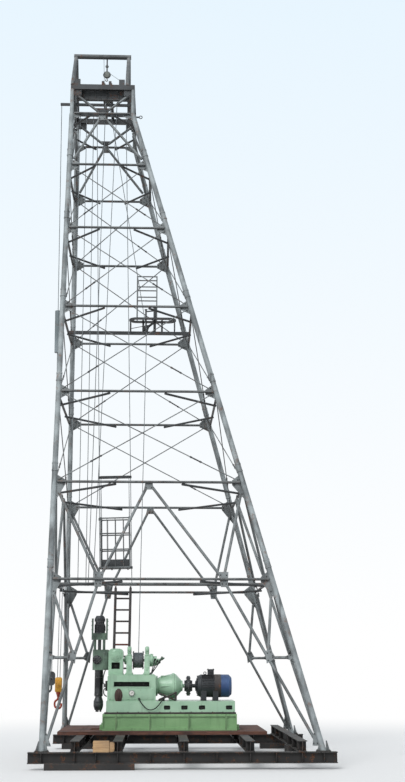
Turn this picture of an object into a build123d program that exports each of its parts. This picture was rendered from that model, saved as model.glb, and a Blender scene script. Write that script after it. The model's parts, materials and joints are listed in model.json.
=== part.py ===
import os
from build123d import *

os.makedirs("parts", exist_ok=True)

# Driving dimensions in millimetres. X runs along the machine, Y away from the viewer, Z up.
# Clearances
seat_gap = 0.2
running_gap = 0.3
bar_gap = 12

# Ground frame
sill_height = 130
sill_width = 260
front_sill_length = 1900
front_sill_x = -1980
rear_sill_length = 900
rear_sill_x = 2600
inner_sill_setback = 1900
beam_height = 230
beam_width = 200
beam_flange = 16
beam_web = 12
long_beam_overhang = 290
cross_beam_overhang = 120
cross_beam_stations = (-2300, -1390, 20, 1430, 2540)
deck_thickness = 70
deck_plank_width = 270
deck_plank_gap = 6
deck_plank_count = 10
deck_left = -2850
deck_right = 1980
deck_front = -1000
well_half = 170
packing_length = 340
packing_depth = 180
packing_x = -1740

# Tower: leg centre lines at the beam top and at the crown
base_half_width = 3000
base_half_depth = 3000
top_left_x = -2920
top_right_x = -1330
top_half_depth = 980
level_heights = (3660, 5890, 8100, 10290, 12430, 14230, 15750)
leg_radius = 64
girt_radius = 30
brace_radius = 32
rod_radius = 11
corner_brace_radius = 26
gusset_thickness = 12
gusset_reach = 190
gusset_drop = 170
strut_gusset_drop = 420
foot_gusset_top = 460
foot_gusset_bottom = 120
limb_foot_height = 260
limb_share = 0.22
corner_brace_share = 0.32
joint_cut = 105
bar_sides = 12
rod_sides = 6
shoe_length = 300
shoe_thickness = 25

# Crown box above the seventh level
crown_height = 830
crown_plate_gap = 1
crown_post_radius = 50
crown_beam_height = 140
crown_beam_width = 80
bearer_height = 100
bearer_width = 70
sheave_radius = 230
sheave_width = 90
sheave_groove_depth = 30
sheave_axle_radius = 30
sheave_x = -2030
bearing_height = 170
bearing_length = 150
gin_height = 1430
gin_leg_radius = 50
gin_bar_radius = 65
gin_overhang = 60
gin_right_x = -1490
gin_block_x = -2080
gin_block_z = 17770
gin_block_radius = 95
gin_block_width = 60
gin_link_width = 36
deep_beam_height = 370
deep_beam_flange = 110
deep_beam_setback = 135
deep_beam_plate = 14
deep_beam_cope = 120
crown_box_places = (-2790, -1630)
crown_box_width = 150
crown_box_height = 150
rope_bar_size = 60
bracket_size = 60

# Guided work basket and its counterweight
basket_width = 740
basket_depth = 480
basket_rail_height = 1200
basket_floor_thickness = 40
basket_rail_radius = 16
basket_y = 400
basket_low_x = -1625
basket_low_z = 4480
basket_top_x = -1950
rope_radius = 9
eye_radius = 26
eye_height = 60
yoke_rise = 2300
yoke_height = 70
yoke_thickness = 50
mid_beam_radius = 40
counterweight_radius = 75
counterweight_length = 1100
counterweight_top_z = 10980
counterweight_y = -200
bracket_reach = 330
sling_radius = 6
hook_block_height = 330
hook_block_width = 170
hook_block_thickness = 90
hook_bar_radius = 24
hook_radius = 85
hook_sweep = -200
line_foot_x = -3085
line_foot_z = 2000

# Monkey board on the fourth level
board_y = 900
board_left = -1400
board_right = -150
board_depth = 420
board_thickness = 40
board_rise = 300
board_post_size = 50
board_post_spread = 250
board_beam_size = 80
board_guard_height = 1150
board_rail_radius = 16
board_guard_width = 520
board_rim = 100
line_eye_x = -930
line_eye_gap = 60
line_bend_radius = 400
line_guide_radius = 45
line_guide_wall = 15
line_guide_height = 40

# Ladder behind the machine
ladder_left = -1720
ladder_width = 440
ladder_rail_size = 45
ladder_foot_y = 1560
ladder_rung_radius = 15
ladder_rung_pitch = 310

# Drilling machine
machine_left = -1840
machine_length = 3150
machine_depth = 1200
machine_base_height = 370
skid_inset = 80
skid_end_inset = 40
skid_depth = 1080
skid_height = 290
gearbox_inset = 20
gearbox_length = 1140
gearbox_height = 590
gearbox_depth = 1000
shaft_height = 340
drum_offset = 710
drum_radius = 165
drum_flange_radius = 215
drum_width = 250
drum_shaft_radius = 35
drum_height = 350
hoist_plate_thickness = 130
hoist_plate_depth = 520
drum_flange = 22
brake_radius = 150
brake_length = 240
spindle_overhang = 130
spindle_radius = 40
chuck_radius = 115
chuck_bottom = 1100
sleeve_radius = 100
sleeve_bottom = 1420
sleeve_gap = 6
head_bottom = 2030
head_top = 2500
head_overhang = 155
head_half_depth = 170
crosshead_bottom = 2740
crosshead_height = 160
crosshead_radius = 82
cheek_height = 330
cheek_thickness = 38
cheek_half_depth = 75
upper_chuck_radius = 128
spindle_top = 3310
feed_rod_radius = 32
feed_rod_spread = 110
feed_rod_depth = 150
feed_bore_depth = 460
sleeve_bore_height = 130
housing_inset = 5
housing_width = 345
housing_height = 320
housing_foot_height = 300
housing_corner = 95
housing_depth = 600
housing_pocket_width = 200
housing_pocket_height = 155
housing_pocket_depth = 150
gearbox_edge = 40
recess_height = 110
recess_depth = 120
recess_margin = 150
rib_shares = (0, 0.1, 0.35, 0.64, 0.92, 1)
rib_half = 25
panel_recess = 35
base_flange = 55
slot_shares = (0.472, 0.607, 0.743, 0.954)
slot_length = 150
slot_height = 95
slot_depth = 140
motor_setback = 940
motor_radius = 265
motor_length = 840
coupling_setback = 285
coupling_radius = 230
coupling_length = 190
drive_shaft_radius = 45
case_profile = ((0, 185), (55, 185), (100, 215), (400, 285), (480, 272), (620, 120))
case_foot_offset = 310
case_foot_length = 180
case_foot_depth = 320
case_gap = 65
motor_corner = 110
cowl_length = 250
cowl_edge = 60
foot_length = 130
foot_depth = 480
terminal_box_offset = 350
terminal_box_size = 150
terminal_box_rise = 110

# Values that follow from the driving dimensions
beam_top = sill_height + beam_height
cross_top = beam_top + beam_height
deck_top = cross_top + deck_thickness
long_beam_length = 2 * (base_half_width + long_beam_overhang)
cross_beam_length = 2 * (base_half_depth + cross_beam_overhang)
machine_right = machine_left + machine_length
skid_left = machine_left + skid_inset
skid_right = machine_right - skid_end_inset
gearbox_left = skid_left + gearbox_inset
gearbox_right = gearbox_left + gearbox_length
drum_x = gearbox_left + drum_offset
spindle_x = machine_left - spindle_overhang
head_left = spindle_x - head_overhang
housing_left = gearbox_left + housing_inset
motor_left = machine_right - motor_setback
coupling_left = motor_left - coupling_setback
terminal_box_x = motor_left + terminal_box_offset
case_length = coupling_left - case_gap - gearbox_right
case_stretch = case_length / case_profile[-1][0]
crown_level = level_heights[-1]
crown_base_z = beam_top + crown_level
crown_top_z = crown_base_z + crown_height
up = Vector(0, 0, 1)
corners = {
    "front_left": (-1, -1),
    "front_right": (1, -1),
    "back_right": (1, 1),
    "back_left": (-1, 1),
}
faces = {
    "front": ("front_left", "front_right"),
    "right": ("front_right", "back_right"),
    "back": ("back_right", "back_left"),
    "left": ("back_left", "front_left"),
}


def save(piece, name):
    piece.part.label = name
    export_step(piece.part, f"parts/{name}.step")


def leg_point(corner, height):
    """Centre of a leg at a height over the beam top."""
    side_x, side_y = corners[corner]
    share = min(height / crown_level, 1)
    low_x = side_x * base_half_width
    high_x = top_left_x if side_x < 0 else top_right_x
    depth = base_half_depth + (top_half_depth - base_half_depth) * share
    return Vector(low_x + (high_x - low_x) * share, side_y * depth, beam_top + height)


def bar(start, end, radius, toward, count=bar_sides):
    """A straight bar of a few sides, one of them facing a direction."""
    run = end - start
    flat = toward - run * (toward.dot(run) / run.dot(run))
    with BuildSketch(Plane(origin=start, x_dir=flat, z_dir=run)) as section:
        RegularPolygon(radius, count, major_radius=False, rotation=180 / count)
    extrude(section.sketch, amount=run.length)


def tube(start, end, radius):
    """A straight round bar."""
    run = end - start
    with BuildSketch(Plane(origin=start, z_dir=run)) as section:
        Circle(radius)
    extrude(section.sketch, amount=run.length)


def block(low, high):
    """A box between two corners."""
    middle = (Vector(*low) + Vector(*high)) * 0.5
    size = Vector(*high) - Vector(*low)
    with Locations(middle):
        Box(size.X, size.Y, size.Z)


# Ground frame: sills, two long beams, cross beams, packing and the plank deck
def i_beam(middle, across, along, length):
    with BuildSketch(Plane(origin=middle, x_dir=across, z_dir=along)) as section:
        Rectangle(beam_web, beam_height)
        with Locations((0, (beam_height - beam_flange) / 2), (0, (beam_flange - beam_height) / 2)):
            Rectangle(beam_width, beam_flange)
    extrude(section.sketch, amount=length / 2, both=True)


sill_places = (
    (front_sill_x, -base_half_depth, front_sill_length),
    (-rear_sill_x, base_half_depth, rear_sill_length),
    (rear_sill_x, base_half_depth, rear_sill_length),
)
with BuildPart() as ground_sills:
    for sill_x, sill_y, sill_length in sill_places:
        with Locations((sill_x, sill_y, sill_height / 2)):
            Box(sill_length, sill_width, sill_height)
    with Locations((cross_beam_stations[-1], inner_sill_setback - base_half_depth, beam_top / 2)):
        Box(sill_width, rear_sill_length, beam_top)
save(ground_sills, "ground_sills")

for beam_name, side_y in (("front_beam", -1), ("back_beam", 1)):
    with BuildPart() as long_beam:
        i_beam(Vector(0, side_y * base_half_depth, sill_height + beam_height / 2), (0, 1, 0), (1, 0, 0),
               long_beam_length)
    save(long_beam, beam_name)

with BuildPart() as cross_beams:
    for station in cross_beam_stations:
        i_beam(Vector(station, 0, beam_top + beam_height / 2), (1, 0, 0), (0, -1, 0), cross_beam_length)
save(cross_beams, "cross_beams")

with BuildPart() as packing_block:
    with Locations((packing_x, -base_half_depth, beam_top + beam_height / 2)):
        Box(packing_length, packing_depth, beam_height)
save(packing_block, "packing_block")

well_left, well_right = spindle_x - well_half, spindle_x + well_half
with BuildPart() as deck_planks:
    for index in range(deck_plank_count):
        front = deck_front + index * (deck_plank_width + deck_plank_gap)
        back = front + deck_plank_width
        if front < well_half and back > -well_half:
            block((deck_left, front, cross_top), (well_left, back, deck_top))
            block((well_right, front, cross_top), (deck_right, back, deck_top))
        else:
            block((deck_left, front, cross_top), (deck_right, back, deck_top))
save(deck_planks, "deck_planks")

# Tower legs on their shoes
with BuildPart() as leg_shoes:
    for corner in corners:
        foot = leg_point(corner, 0)
        with Locations((foot.X, foot.Y, beam_top + shoe_thickness / 2)):
            Box(shoe_length, beam_width, shoe_thickness)
save(leg_shoes, "leg_shoes")

for corner in corners:
    foot = leg_point(corner, 0)
    head = leg_point(corner, crown_level)
    with BuildPart() as leg:
        tube(foot, head, leg_radius)
        split(bisect_by=Plane.XY.offset(beam_top + shoe_thickness + seat_gap), keep=Keep.TOP)
        split(bisect_by=Plane.XY.offset(crown_base_z - seat_gap), keep=Keep.BOTTOM)
    save(leg, f"leg_{corner}")


# Tower faces. Each is the plane through two legs, with u level, v up the slope and n outward.
# Girts lap on the outside of the gusset plates and braces on the inside.
class Face:
    def __init__(self, left, right, low_height):
        self.legs = (left, right)
        low_left, low_right = leg_point(left, low_height), leg_point(right, low_height)
        rise = leg_point(left, crown_level) - low_left if low_height < crown_level else up
        level = (low_right - low_left).normalized()
        self.plane = Plane(origin=(low_left + low_right) * 0.5, x_dir=level, z_dir=level.cross(rise))

    def local(self, point):
        return self.plane.to_local_coords(point)

    def corner(self, side, height):
        return self.local(leg_point(self.legs[side], height))

    def world(self, point, lift):
        return self.plane.from_local_coords(Vector(point.X, point.Y, lift))

    def lay(self, start, end, radius, side, count=bar_sides):
        """A bar lying on the outer (1) or inner (-1) face of the gusset plates."""
        lift = side * (gusset_thickness / 2 + seat_gap + radius)
        bar(self.world(start, lift), self.world(end, lift), radius, self.plane.z_dir, count)

    def plate(self, *points):
        with BuildSketch(self.plane) as outline:
            Polygon(*[(p.X, p.Y) for p in points], align=None)
        extrude(outline.sketch, amount=gusset_thickness / 2, both=True)


def trimmed(start, end, start_cut, end_cut):
    run = (end - start).normalized()
    return start + run * start_cut, end - run * end_cut


def leg_cut(run, leg_run, radius):
    """How far from a leg's centre line a bar has to stop to clear the leg."""
    angle = run.normalized().cross(leg_run.normalized()).length
    return (leg_radius + radius + bar_gap) / angle


def shifted(point, right, rise):
    return point + Vector(right, rise, 0)


tower_faces = {name: Face(*legs, 0) for name, legs in faces.items()}

with BuildPart() as level_girts:
    girt_lift = gusset_thickness / 2 + seat_gap + girt_radius
    for face in tower_faces.values():
        for height in level_heights:
            start, end = face.corner(0, height), face.corner(1, height)
            start, end = trimmed(start, end, leg_radius + bar_gap, leg_radius + bar_gap)
            tube(face.world(start, girt_lift), face.world(end, girt_lift), girt_radius)
save(level_girts, "level_girts")


def face_joints(face):
    """The places on a face where bars meet: limb tops, limb feet, limb middles and apexes."""
    lower = [face.corner(side, level_heights[0]) for side in (0, 1)]
    inward = (1, -1)
    tops = [lower[side] + (lower[1 - side] - lower[side]) * limb_share for side in (0, 1)]
    clear = leg_radius + brace_radius + bar_gap
    feet = [shifted(face.corner(side, limb_foot_height), inward[side] * clear, 0) for side in (0, 1)]
    middles = [(tops[side] + feet[side]) * 0.5 for side in (0, 1)]
    return tops, feet, middles


for face_name, face in tower_faces.items():
    tops, feet, middles = face_joints(face)
    with BuildPart() as braces:
        for side in (0, 1):
            leg_run = face.corner(side, crown_level) - face.corner(side, 0)
            first, second = face.corner(side, level_heights[0]), face.corner(side, level_heights[1])
            apex = (second + face.corner(1 - side, level_heights[1])) * 0.5
            limb = feet[side] - tops[side]
            face.lay(*trimmed(tops[side], feet[side], joint_cut, 0), brace_radius, -1)
            strut = middles[side] - first
            meet = (2 * brace_radius + bar_gap) / strut.normalized().cross(limb.normalized()).length
            strut_cut = leg_cut(strut, leg_run, brace_radius)
            face.lay(*trimmed(first, middles[side], strut_cut, meet), brace_radius, -1)
            on_leg = face.corner(side, 0) + leg_run * (middles[side].Y / leg_run.Y)
            stay = middles[side] - on_leg
            stay_meet = (2 * brace_radius + bar_gap) / stay.normalized().cross(limb.normalized()).length
            stay_cut = leg_cut(stay, leg_run, brace_radius)
            face.lay(*trimmed(on_leg, middles[side], stay_cut, stay_meet), brace_radius, -1)
            face.lay(*trimmed(apex, tops[side], joint_cut, joint_cut), brace_radius, -1)
            upper_cut = leg_cut(tops[side] - second, leg_run, brace_radius)
            face.lay(*trimmed(second, tops[side], upper_cut, joint_cut), brace_radius, -1)
            low = face.corner(side, level_heights[5])
            peak = (face.corner(0, level_heights[6]) + face.corner(1, level_heights[6])) * 0.5
            low_cut = leg_cut(peak - low, leg_run, brace_radius)
            face.lay(*trimmed(low, peak, low_cut, joint_cut), brace_radius, -1)
    save(braces, f"{face_name}_braces")

with BuildPart() as tie_rods:
    for face in tower_faces.values():
        for lower, upper in zip(level_heights[1:5], level_heights[2:6]):
            for side, lay_side in ((0, 1), (1, -1)):
                start, end = face.corner(side, lower), face.corner(1 - side, upper)
                leg_run = face.corner(side, crown_level) - face.corner(side, 0)
                far_run = face.corner(1 - side, crown_level) - face.corner(1 - side, 0)
                girt_cut = (girt_radius + rod_radius + bar_gap) * (end - start).length / (end.Y - start.Y)
                start_cut = max(girt_cut, leg_cut(end - start, leg_run, rod_radius))
                end_cut = max(girt_cut, leg_cut(end - start, far_run, rod_radius))
                face.lay(*trimmed(start, end, start_cut, end_cut), rod_radius, lay_side, rod_sides)
save(tie_rods, "tie_rods")

with BuildPart() as gusset_plates:
    for face in tower_faces.values():
        tops, feet, middles = face_joints(face)
        for side, inward in ((0, 1), (1, -1)):
            leg_run = face.corner(side, crown_level) - face.corner(side, 0)
            edge = leg_radius + seat_gap

            def on_edge(rise):
                """A point on the leg's inner edge at a height up the face."""
                at = face.corner(side, 0) + leg_run * (rise / leg_run.Y)
                return shifted(at, inward * edge * leg_run.length / leg_run.Y, 0)

            for index, height in enumerate(level_heights):
                rise = face.corner(side, height).Y
                drop = strut_gusset_drop if index < 2 else gusset_drop
                lift = gusset_drop if index < 6 else girt_radius
                point = on_edge(rise)
                face.plate(
                    on_edge(rise - drop),
                    shifted(point, inward * gusset_reach, -gusset_drop / 3),
                    shifted(point, inward * gusset_reach, lift / 3),
                    on_edge(rise + lift),
                )
            face.plate(
                on_edge(foot_gusset_bottom),
                shifted(on_edge(foot_gusset_bottom), inward * gusset_reach * 0.7, 0),
                on_edge(foot_gusset_top),
            )
            stay_rise = middles[side].Y
            face.plate(
                on_edge(stay_rise - gusset_drop / 2),
                shifted(on_edge(stay_rise), inward * gusset_reach * 0.7, -brace_radius),
                shifted(on_edge(stay_rise), inward * gusset_reach * 0.7, brace_radius),
                on_edge(stay_rise + gusset_drop / 2),
            )
            middle = middles[side]
            face.plate(
                shifted(middle, -inward * gusset_reach * 0.75, -brace_radius),
                shifted(middle, inward * brace_radius, -gusset_drop * 0.8),
                shifted(middle, inward * brace_radius * 2, gusset_drop * 0.8),
                shifted(middle, -inward * gusset_reach * 0.35, gusset_drop),
                shifted(middle, -inward * gusset_reach * 0.75, brace_radius),
            )
            top = tops[side]
            face.plate(
                shifted(top, -inward * gusset_reach * 0.5, -gusset_drop),
                shifted(top, inward * gusset_reach * 0.3, -gusset_drop),
                shifted(top, inward * gusset_reach * 0.6, gusset_drop),
                shifted(top, -inward * gusset_reach * 0.6, gusset_drop),
            )
        for index in (1, 6):
            height = level_heights[index]
            apex = (face.corner(0, height) + face.corner(1, height)) * 0.5
            face.plate(
                shifted(apex, -gusset_reach * 0.6, -gusset_drop),
                shifted(apex, gusset_reach * 0.6, -gusset_drop),
                shifted(apex, gusset_reach * 0.4, girt_radius),
                shifted(apex, -gusset_reach * 0.4, girt_radius),
            )
save(gusset_plates, "gusset_plates")

# Level corner braces under the girts, and the mid beam on the first level
with BuildPart() as corner_braces:
    names = list(tower_faces)
    drop = girt_radius + corner_brace_radius + seat_gap
    for height in level_heights:
        for index, name in enumerate(names):
            face, following = tower_faces[name], tower_faces[names[(index + 1) % 4]]
            a = face.corner(1, height)
            a = a + (face.corner(0, height) - a) * corner_brace_share
            b = following.corner(0, height)
            b = b + (following.corner(1, height) - b) * corner_brace_share
            start = face.world(a, girt_lift) - up * drop
            end = following.world(b, girt_lift) - up * drop
            start, end = trimmed(start, end, -corner_brace_radius, -corner_brace_radius)
            bar(start, end, corner_brace_radius, up)
save(corner_braces, "corner_braces")


def girt_top(face_name, height, y):
    """The top of a side girt at a depth, as the seat of a beam laid across."""
    face = tower_faces[face_name]
    middle = face.world((face.corner(0, height) + face.corner(1, height)) * 0.5, girt_lift)
    return Vector(middle.X, y, middle.Z + girt_radius + seat_gap)


def cross_beam_ends(height, y):
    left, right = girt_top("left", height, y), girt_top("right", height, y)
    return left - Vector(girt_radius, 0, 0), right + Vector(girt_radius, 0, 0)


mid_left, mid_right = cross_beam_ends(level_heights[0], basket_y)
mid_beam_z = max(mid_left.Z, mid_right.Z) + mid_beam_radius
with BuildPart() as mid_beam:
    bar(Vector(mid_left.X, basket_y, mid_beam_z), Vector(mid_right.X, basket_y, mid_beam_z),
        mid_beam_radius, up)
    left_seat = girt_top("left", level_heights[0], basket_y)
    pad_top = mid_beam_z - mid_beam_radius
    block((left_seat.X - girt_radius, basket_y - mid_beam_radius, left_seat.Z),
          (left_seat.X + girt_radius, basket_y + mid_beam_radius, pad_top))
save(mid_beam, "mid_beam")

# Crown box: posts, top ring, V braces, bearers, sheave and the gin frame
post_places = [leg_point(corner, crown_level) for corner in corners]
ring_bottom = crown_top_z - crown_beam_height
with BuildPart() as crown_posts:
    for place in post_places:
        tube(place + up * seat_gap, Vector(place.X, place.Y, ring_bottom - seat_gap), crown_post_radius)
save(crown_posts, "crown_posts")

ring_left, ring_right = top_left_x - crown_beam_width / 2, top_right_x + crown_beam_width / 2
ring_half = top_half_depth + crown_beam_width / 2
inner_half = ring_half - crown_beam_width
deep_beam_half = (ring_right - ring_left) / 2 - crown_beam_width - seat_gap
deep_beam_z = crown_top_z - deep_beam_height / 2
with BuildPart() as crown_ring:
    for sign in (-1, 1):
        with Locations(((ring_left + ring_right) / 2, sign * top_half_depth, ring_bottom + crown_beam_height / 2)):
            Box(ring_right - ring_left, crown_beam_width, crown_beam_height)
    for x in (top_left_x, top_right_x):
        with Locations((x, 0, ring_bottom + crown_beam_height / 2)):
            Box(crown_beam_width, 2 * (inner_half - seat_gap), crown_beam_height)
    middle = Vector((ring_left + ring_right) / 2, deep_beam_setback - top_half_depth, deep_beam_z)
    with BuildSketch(Plane(origin=middle, x_dir=(0, 1, 0), z_dir=(1, 0, 0))) as section:
        Rectangle(deep_beam_plate, deep_beam_height)
        lift = (deep_beam_height - deep_beam_plate) / 2
        with Locations((0, lift), (0, -lift)):
            Rectangle(deep_beam_flange, deep_beam_plate)
    extrude(section.sketch, amount=deep_beam_half, both=True)
    for x in (top_left_x, top_right_x):
        with Locations((x, 0, ring_bottom - deep_beam_height / 2)):
            Box(2 * deep_beam_cope, 2 * ring_half, deep_beam_height, mode=Mode.SUBTRACT)
save(crown_ring, "crown_ring")

bearer_offset = sheave_width / 2 + bar_gap + bearer_width / 2
with BuildPart() as crown_bearers:
    for sign in (-1, 1):
        x = sheave_x + sign * bearer_offset
        block((x - bearer_width / 2, -ring_half, crown_top_z),
              (x + bearer_width / 2, ring_half, crown_top_z + bearer_height))
    for x in crown_box_places:
        block((x - crown_box_width / 2, -ring_half, crown_top_z),
              (x + crown_box_width / 2, crown_beam_width - ring_half, crown_top_z + crown_box_height))
save(crown_bearers, "crown_bearers")

sheave_z = crown_top_z + bearer_height + bearing_height / 2
with BuildPart() as sheave_bearings:
    for sign in (-1, 1):
        x = sheave_x + sign * bearer_offset
        block((x - bearer_width / 2, -bearing_length / 2, crown_top_z + bearer_height),
              (x + bearer_width / 2, bearing_length / 2, crown_top_z + bearer_height + bearing_height))
        with Locations(Location((x, 0, sheave_z), (0, 90, 0))):
            Cylinder(sheave_axle_radius + running_gap, bearer_width, mode=Mode.SUBTRACT)
save(sheave_bearings, "sheave_bearings")

with BuildPart() as crown_sheave:
    groove = sheave_groove_depth
    half = sheave_width / 2
    reach = bearer_offset + bearer_width / 2
    with BuildSketch(Plane.XZ):
        with BuildLine():
            Polyline(
                (-reach, 0), (-reach, sheave_axle_radius), (-half, sheave_axle_radius),
                (-half, sheave_radius), (-half + groove / 2, sheave_radius),
                (0, sheave_radius - groove), (half - groove / 2, sheave_radius), (half, sheave_radius),
                (half, sheave_axle_radius), (reach, sheave_axle_radius), (reach, 0), close=True,
            )
        make_face()
    revolve(axis=Axis.X)
crown_sheave.part.locate(Location((sheave_x, 0, sheave_z)))
save(crown_sheave, "crown_sheave")

gin_top = crown_top_z + gin_height
gin_bar_bottom = gin_top - 2 * gin_bar_radius
gin_leg_top_y = gin_leg_radius * 1.35
with BuildPart() as gin_frame:
    for x in (top_left_x, gin_right_x):
        for sign in (-1, 1):
            foot = Vector(x, sign * top_half_depth, crown_top_z)
            head = Vector(x, sign * gin_leg_top_y, gin_bar_bottom)
            tube(*trimmed(foot, head, -gin_leg_radius, -gin_leg_radius), gin_leg_radius)
    split(bisect_by=Plane.XY.offset(crown_top_z + seat_gap), keep=Keep.TOP)
    split(bisect_by=Plane.XY.offset(gin_bar_bottom - seat_gap), keep=Keep.BOTTOM)
    gin_bar_z = gin_top - gin_bar_radius
    bar(Vector(top_left_x - gin_overhang, 0, gin_bar_z), Vector(gin_right_x + gin_overhang, 0, gin_bar_z),
        gin_bar_radius, up)
save(gin_frame, "gin_frame")

with BuildPart() as gin_block:
    with Locations(Location((gin_block_x, 0, gin_block_z), (90, 0, 0))):
        Cylinder(gin_block_radius, gin_block_width)
    block((gin_block_x - gin_link_width / 2, -gin_link_width / 2, gin_block_z),
          (gin_block_x + gin_link_width / 2, gin_link_width / 2, gin_bar_bottom - seat_gap))
save(gin_block, "gin_block")

crown_faces = {name: Face(*legs, crown_level) for name, legs in faces.items()}
with BuildPart() as crown_braces:
    for face in crown_faces.values():
        ends = [face.local(leg_point(leg_name, crown_level)) for leg_name in face.legs]
        peak = (ends[0] + ends[1]) * 0.5
        for end in ends:
            top_joint = Vector(end.X, crown_height - crown_beam_height - brace_radius, 0)
            run = top_joint - peak
            clear = (crown_post_radius + brace_radius + bar_gap) / abs(run.normalized().X)
            face.lay(*trimmed(peak, top_joint, joint_cut, clear), brace_radius, -1)
save(crown_braces, "crown_braces")

with BuildPart() as crown_gussets:
    for face in crown_faces.values():
        ends = [face.local(leg_point(leg_name, crown_level)) for leg_name in face.legs]
        peak = (ends[0] + ends[1]) * 0.5
        face.plate(
            shifted(peak, -gusset_reach * 0.3, girt_radius + crown_plate_gap),
            shifted(peak, gusset_reach * 0.3, girt_radius + crown_plate_gap),
            shifted(peak, gusset_reach * 0.9, gusset_drop),
            shifted(peak, -gusset_reach * 0.9, gusset_drop),
        )
        for end, inward in zip(ends, (1, -1)):
            edge = shifted(end, inward * (crown_post_radius + seat_gap), crown_height - crown_beam_height)
            face.plate(
                shifted(edge, 0, -seat_gap),
                shifted(edge, 0, -gusset_drop),
                shifted(edge, inward * gusset_reach, -gusset_drop),
                shifted(edge, inward * gusset_reach, -seat_gap),
            )
save(crown_gussets, "crown_gussets")

# Guide ropes of the work basket, from a bar under the crown ring to the mid beam
rope_bar_bottom = ring_bottom - seat_gap - rope_bar_size
with BuildPart() as rope_bar:
    block((ring_left, basket_y - rope_bar_size / 2, rope_bar_bottom),
          (ring_right, basket_y + rope_bar_size / 2, rope_bar_bottom + rope_bar_size))
save(rope_bar, "rope_bar")

rope_offset = basket_width / 2 + eye_radius + seat_gap
guide_low = Vector(basket_low_x, basket_y, basket_low_z)
guide_run = (Vector(basket_top_x, basket_y, rope_bar_bottom) - guide_low).normalized()
guide_plane = Plane(origin=guide_low, x_dir=Vector(0, 1, 0).cross(guide_run), z_dir=guide_run)
rope_end_gap = seat_gap + rope_radius * abs(guide_run.X)
mid_beam_top = mid_beam_z + mid_beam_radius
with BuildPart() as guide_ropes:
    for sign in (-1, 1):
        aside = guide_plane.x_dir * (sign * rope_offset)
        start, end = guide_low + aside, guide_low + aside
        start = start + guide_run * ((mid_beam_top + rope_end_gap - start.Z) / guide_run.Z)
        end = end + guide_run * ((rope_bar_bottom - rope_end_gap - end.Z) / guide_run.Z)
        tube(start, end, rope_radius)
save(guide_ropes, "guide_ropes")


# Work basket, yoke and slings, drawn upright about the middle of the floor and then set on the ropes
def eye(x, z):
    """A guide eye that runs along a rope."""
    with BuildSketch(Plane.XY.offset(z - eye_height / 2)) as section:
        with Locations((x, 0)):
            Circle(eye_radius)
            Circle(rope_radius + running_gap, mode=Mode.SUBTRACT)
    extrude(section.sketch, amount=eye_height)


def rail_loop(half_width, half_depth, z, middle, radius):
    """Four rails between corner posts, each stopping at the posts' flats."""
    clear = radius + seat_gap
    for sign in (-1, 1):
        side_y, side_x = Vector(0, sign * half_depth, z), Vector(sign * half_width, 0, z)
        reach_x, reach_y = Vector(half_width - clear, 0, 0), Vector(0, half_depth - clear, 0)
        bar(middle + side_y - reach_x, middle + side_y + reach_x, radius, up)
        bar(middle + side_x - reach_y, middle + side_x + reach_y, radius, up)


def corner_posts(half_width, half_depth, low, high, middle, radius):
    for x in (-half_width, half_width):
        for y in (-half_depth, half_depth):
            bar(middle + Vector(x, y, low), middle + Vector(x, y, high), radius, Vector(1, 0, 0))


basket_half_width = basket_width / 2 - basket_rail_radius
basket_half_depth = basket_depth / 2 - basket_rail_radius
basket_rail_z = [basket_floor_thickness + basket_rail_height * share for share in (0.35, 0.68, 1.0)]
basket_post_top = basket_rail_z[-1] + basket_rail_radius
eye_levels = (basket_floor_thickness / 2, basket_rail_z[-1])
centre = Vector(0, 0, 0)
with BuildPart() as work_basket:
    with Locations((0, 0, basket_floor_thickness / 2)):
        Box(basket_width, basket_depth, basket_floor_thickness)
    corner_posts(basket_half_width, basket_half_depth, basket_floor_thickness + seat_gap, basket_post_top,
                 centre, basket_rail_radius)
    for z in basket_rail_z:
        rail_loop(basket_half_width, basket_half_depth, z, centre, basket_rail_radius)
    for z in eye_levels:
        for sign in (-1, 1):
            eye(sign * rope_offset, z)
work_basket.part.locate(Location(guide_plane))
save(work_basket, "work_basket")

yoke_half = rope_offset - eye_radius - seat_gap
with BuildPart() as basket_yoke:
    with Locations((0, 0, yoke_rise)):
        Box(2 * yoke_half, yoke_thickness, yoke_height)
    for sign in (-1, 1):
        eye(sign * rope_offset, yoke_rise)
basket_yoke.part.locate(Location(guide_plane))
save(basket_yoke, "basket_yoke")

with BuildPart() as basket_slings:
    for x in (-basket_half_width, basket_half_width):
        for y in (-basket_half_depth, basket_half_depth):
            foot = Vector(x, y, basket_post_top)
            head = Vector(x, y / abs(y) * (yoke_thickness / 2 - sling_radius), yoke_rise - yoke_height / 2)
            run = (head - foot).normalized()
            end_gap = seat_gap + sling_radius * abs(run.Y)
            tube(*trimmed(foot, head, end_gap, end_gap), sling_radius)
basket_slings.part.locate(Location(guide_plane))
save(basket_slings, "basket_slings")

# Counterweight, its line and the crown bracket
bracket_z = ring_bottom - seat_gap - bracket_size / 2
bracket_end = ring_left - bracket_reach
with BuildPart() as line_bracket:
    block((bracket_end, counterweight_y - bracket_size / 2, bracket_z - bracket_size / 2),
          (ring_right, counterweight_y + bracket_size / 2, bracket_z + bracket_size / 2))
save(line_bracket, "line_bracket")

line_top = Vector(bracket_end + bracket_size / 2, counterweight_y, bracket_z - bracket_size / 2 - 2 * seat_gap)
line_foot = Vector(line_foot_x, counterweight_y, line_foot_z)
line_run = (line_top - line_foot).normalized()
with BuildPart() as counterweight_line:
    tube(line_foot, line_top, rope_radius)
save(counterweight_line, "counterweight_line")

weight_top = line_foot + line_run * ((counterweight_top_z - line_foot_z) / line_run.Z)
with BuildPart() as counterweight:
    with BuildSketch(Plane(origin=weight_top - line_run * counterweight_length, z_dir=line_run)) as section:
        Circle(counterweight_radius)
        Circle(rope_radius + running_gap, mode=Mode.SUBTRACT)
    extrude(section.sketch, amount=counterweight_length)
save(counterweight, "counterweight")

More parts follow.
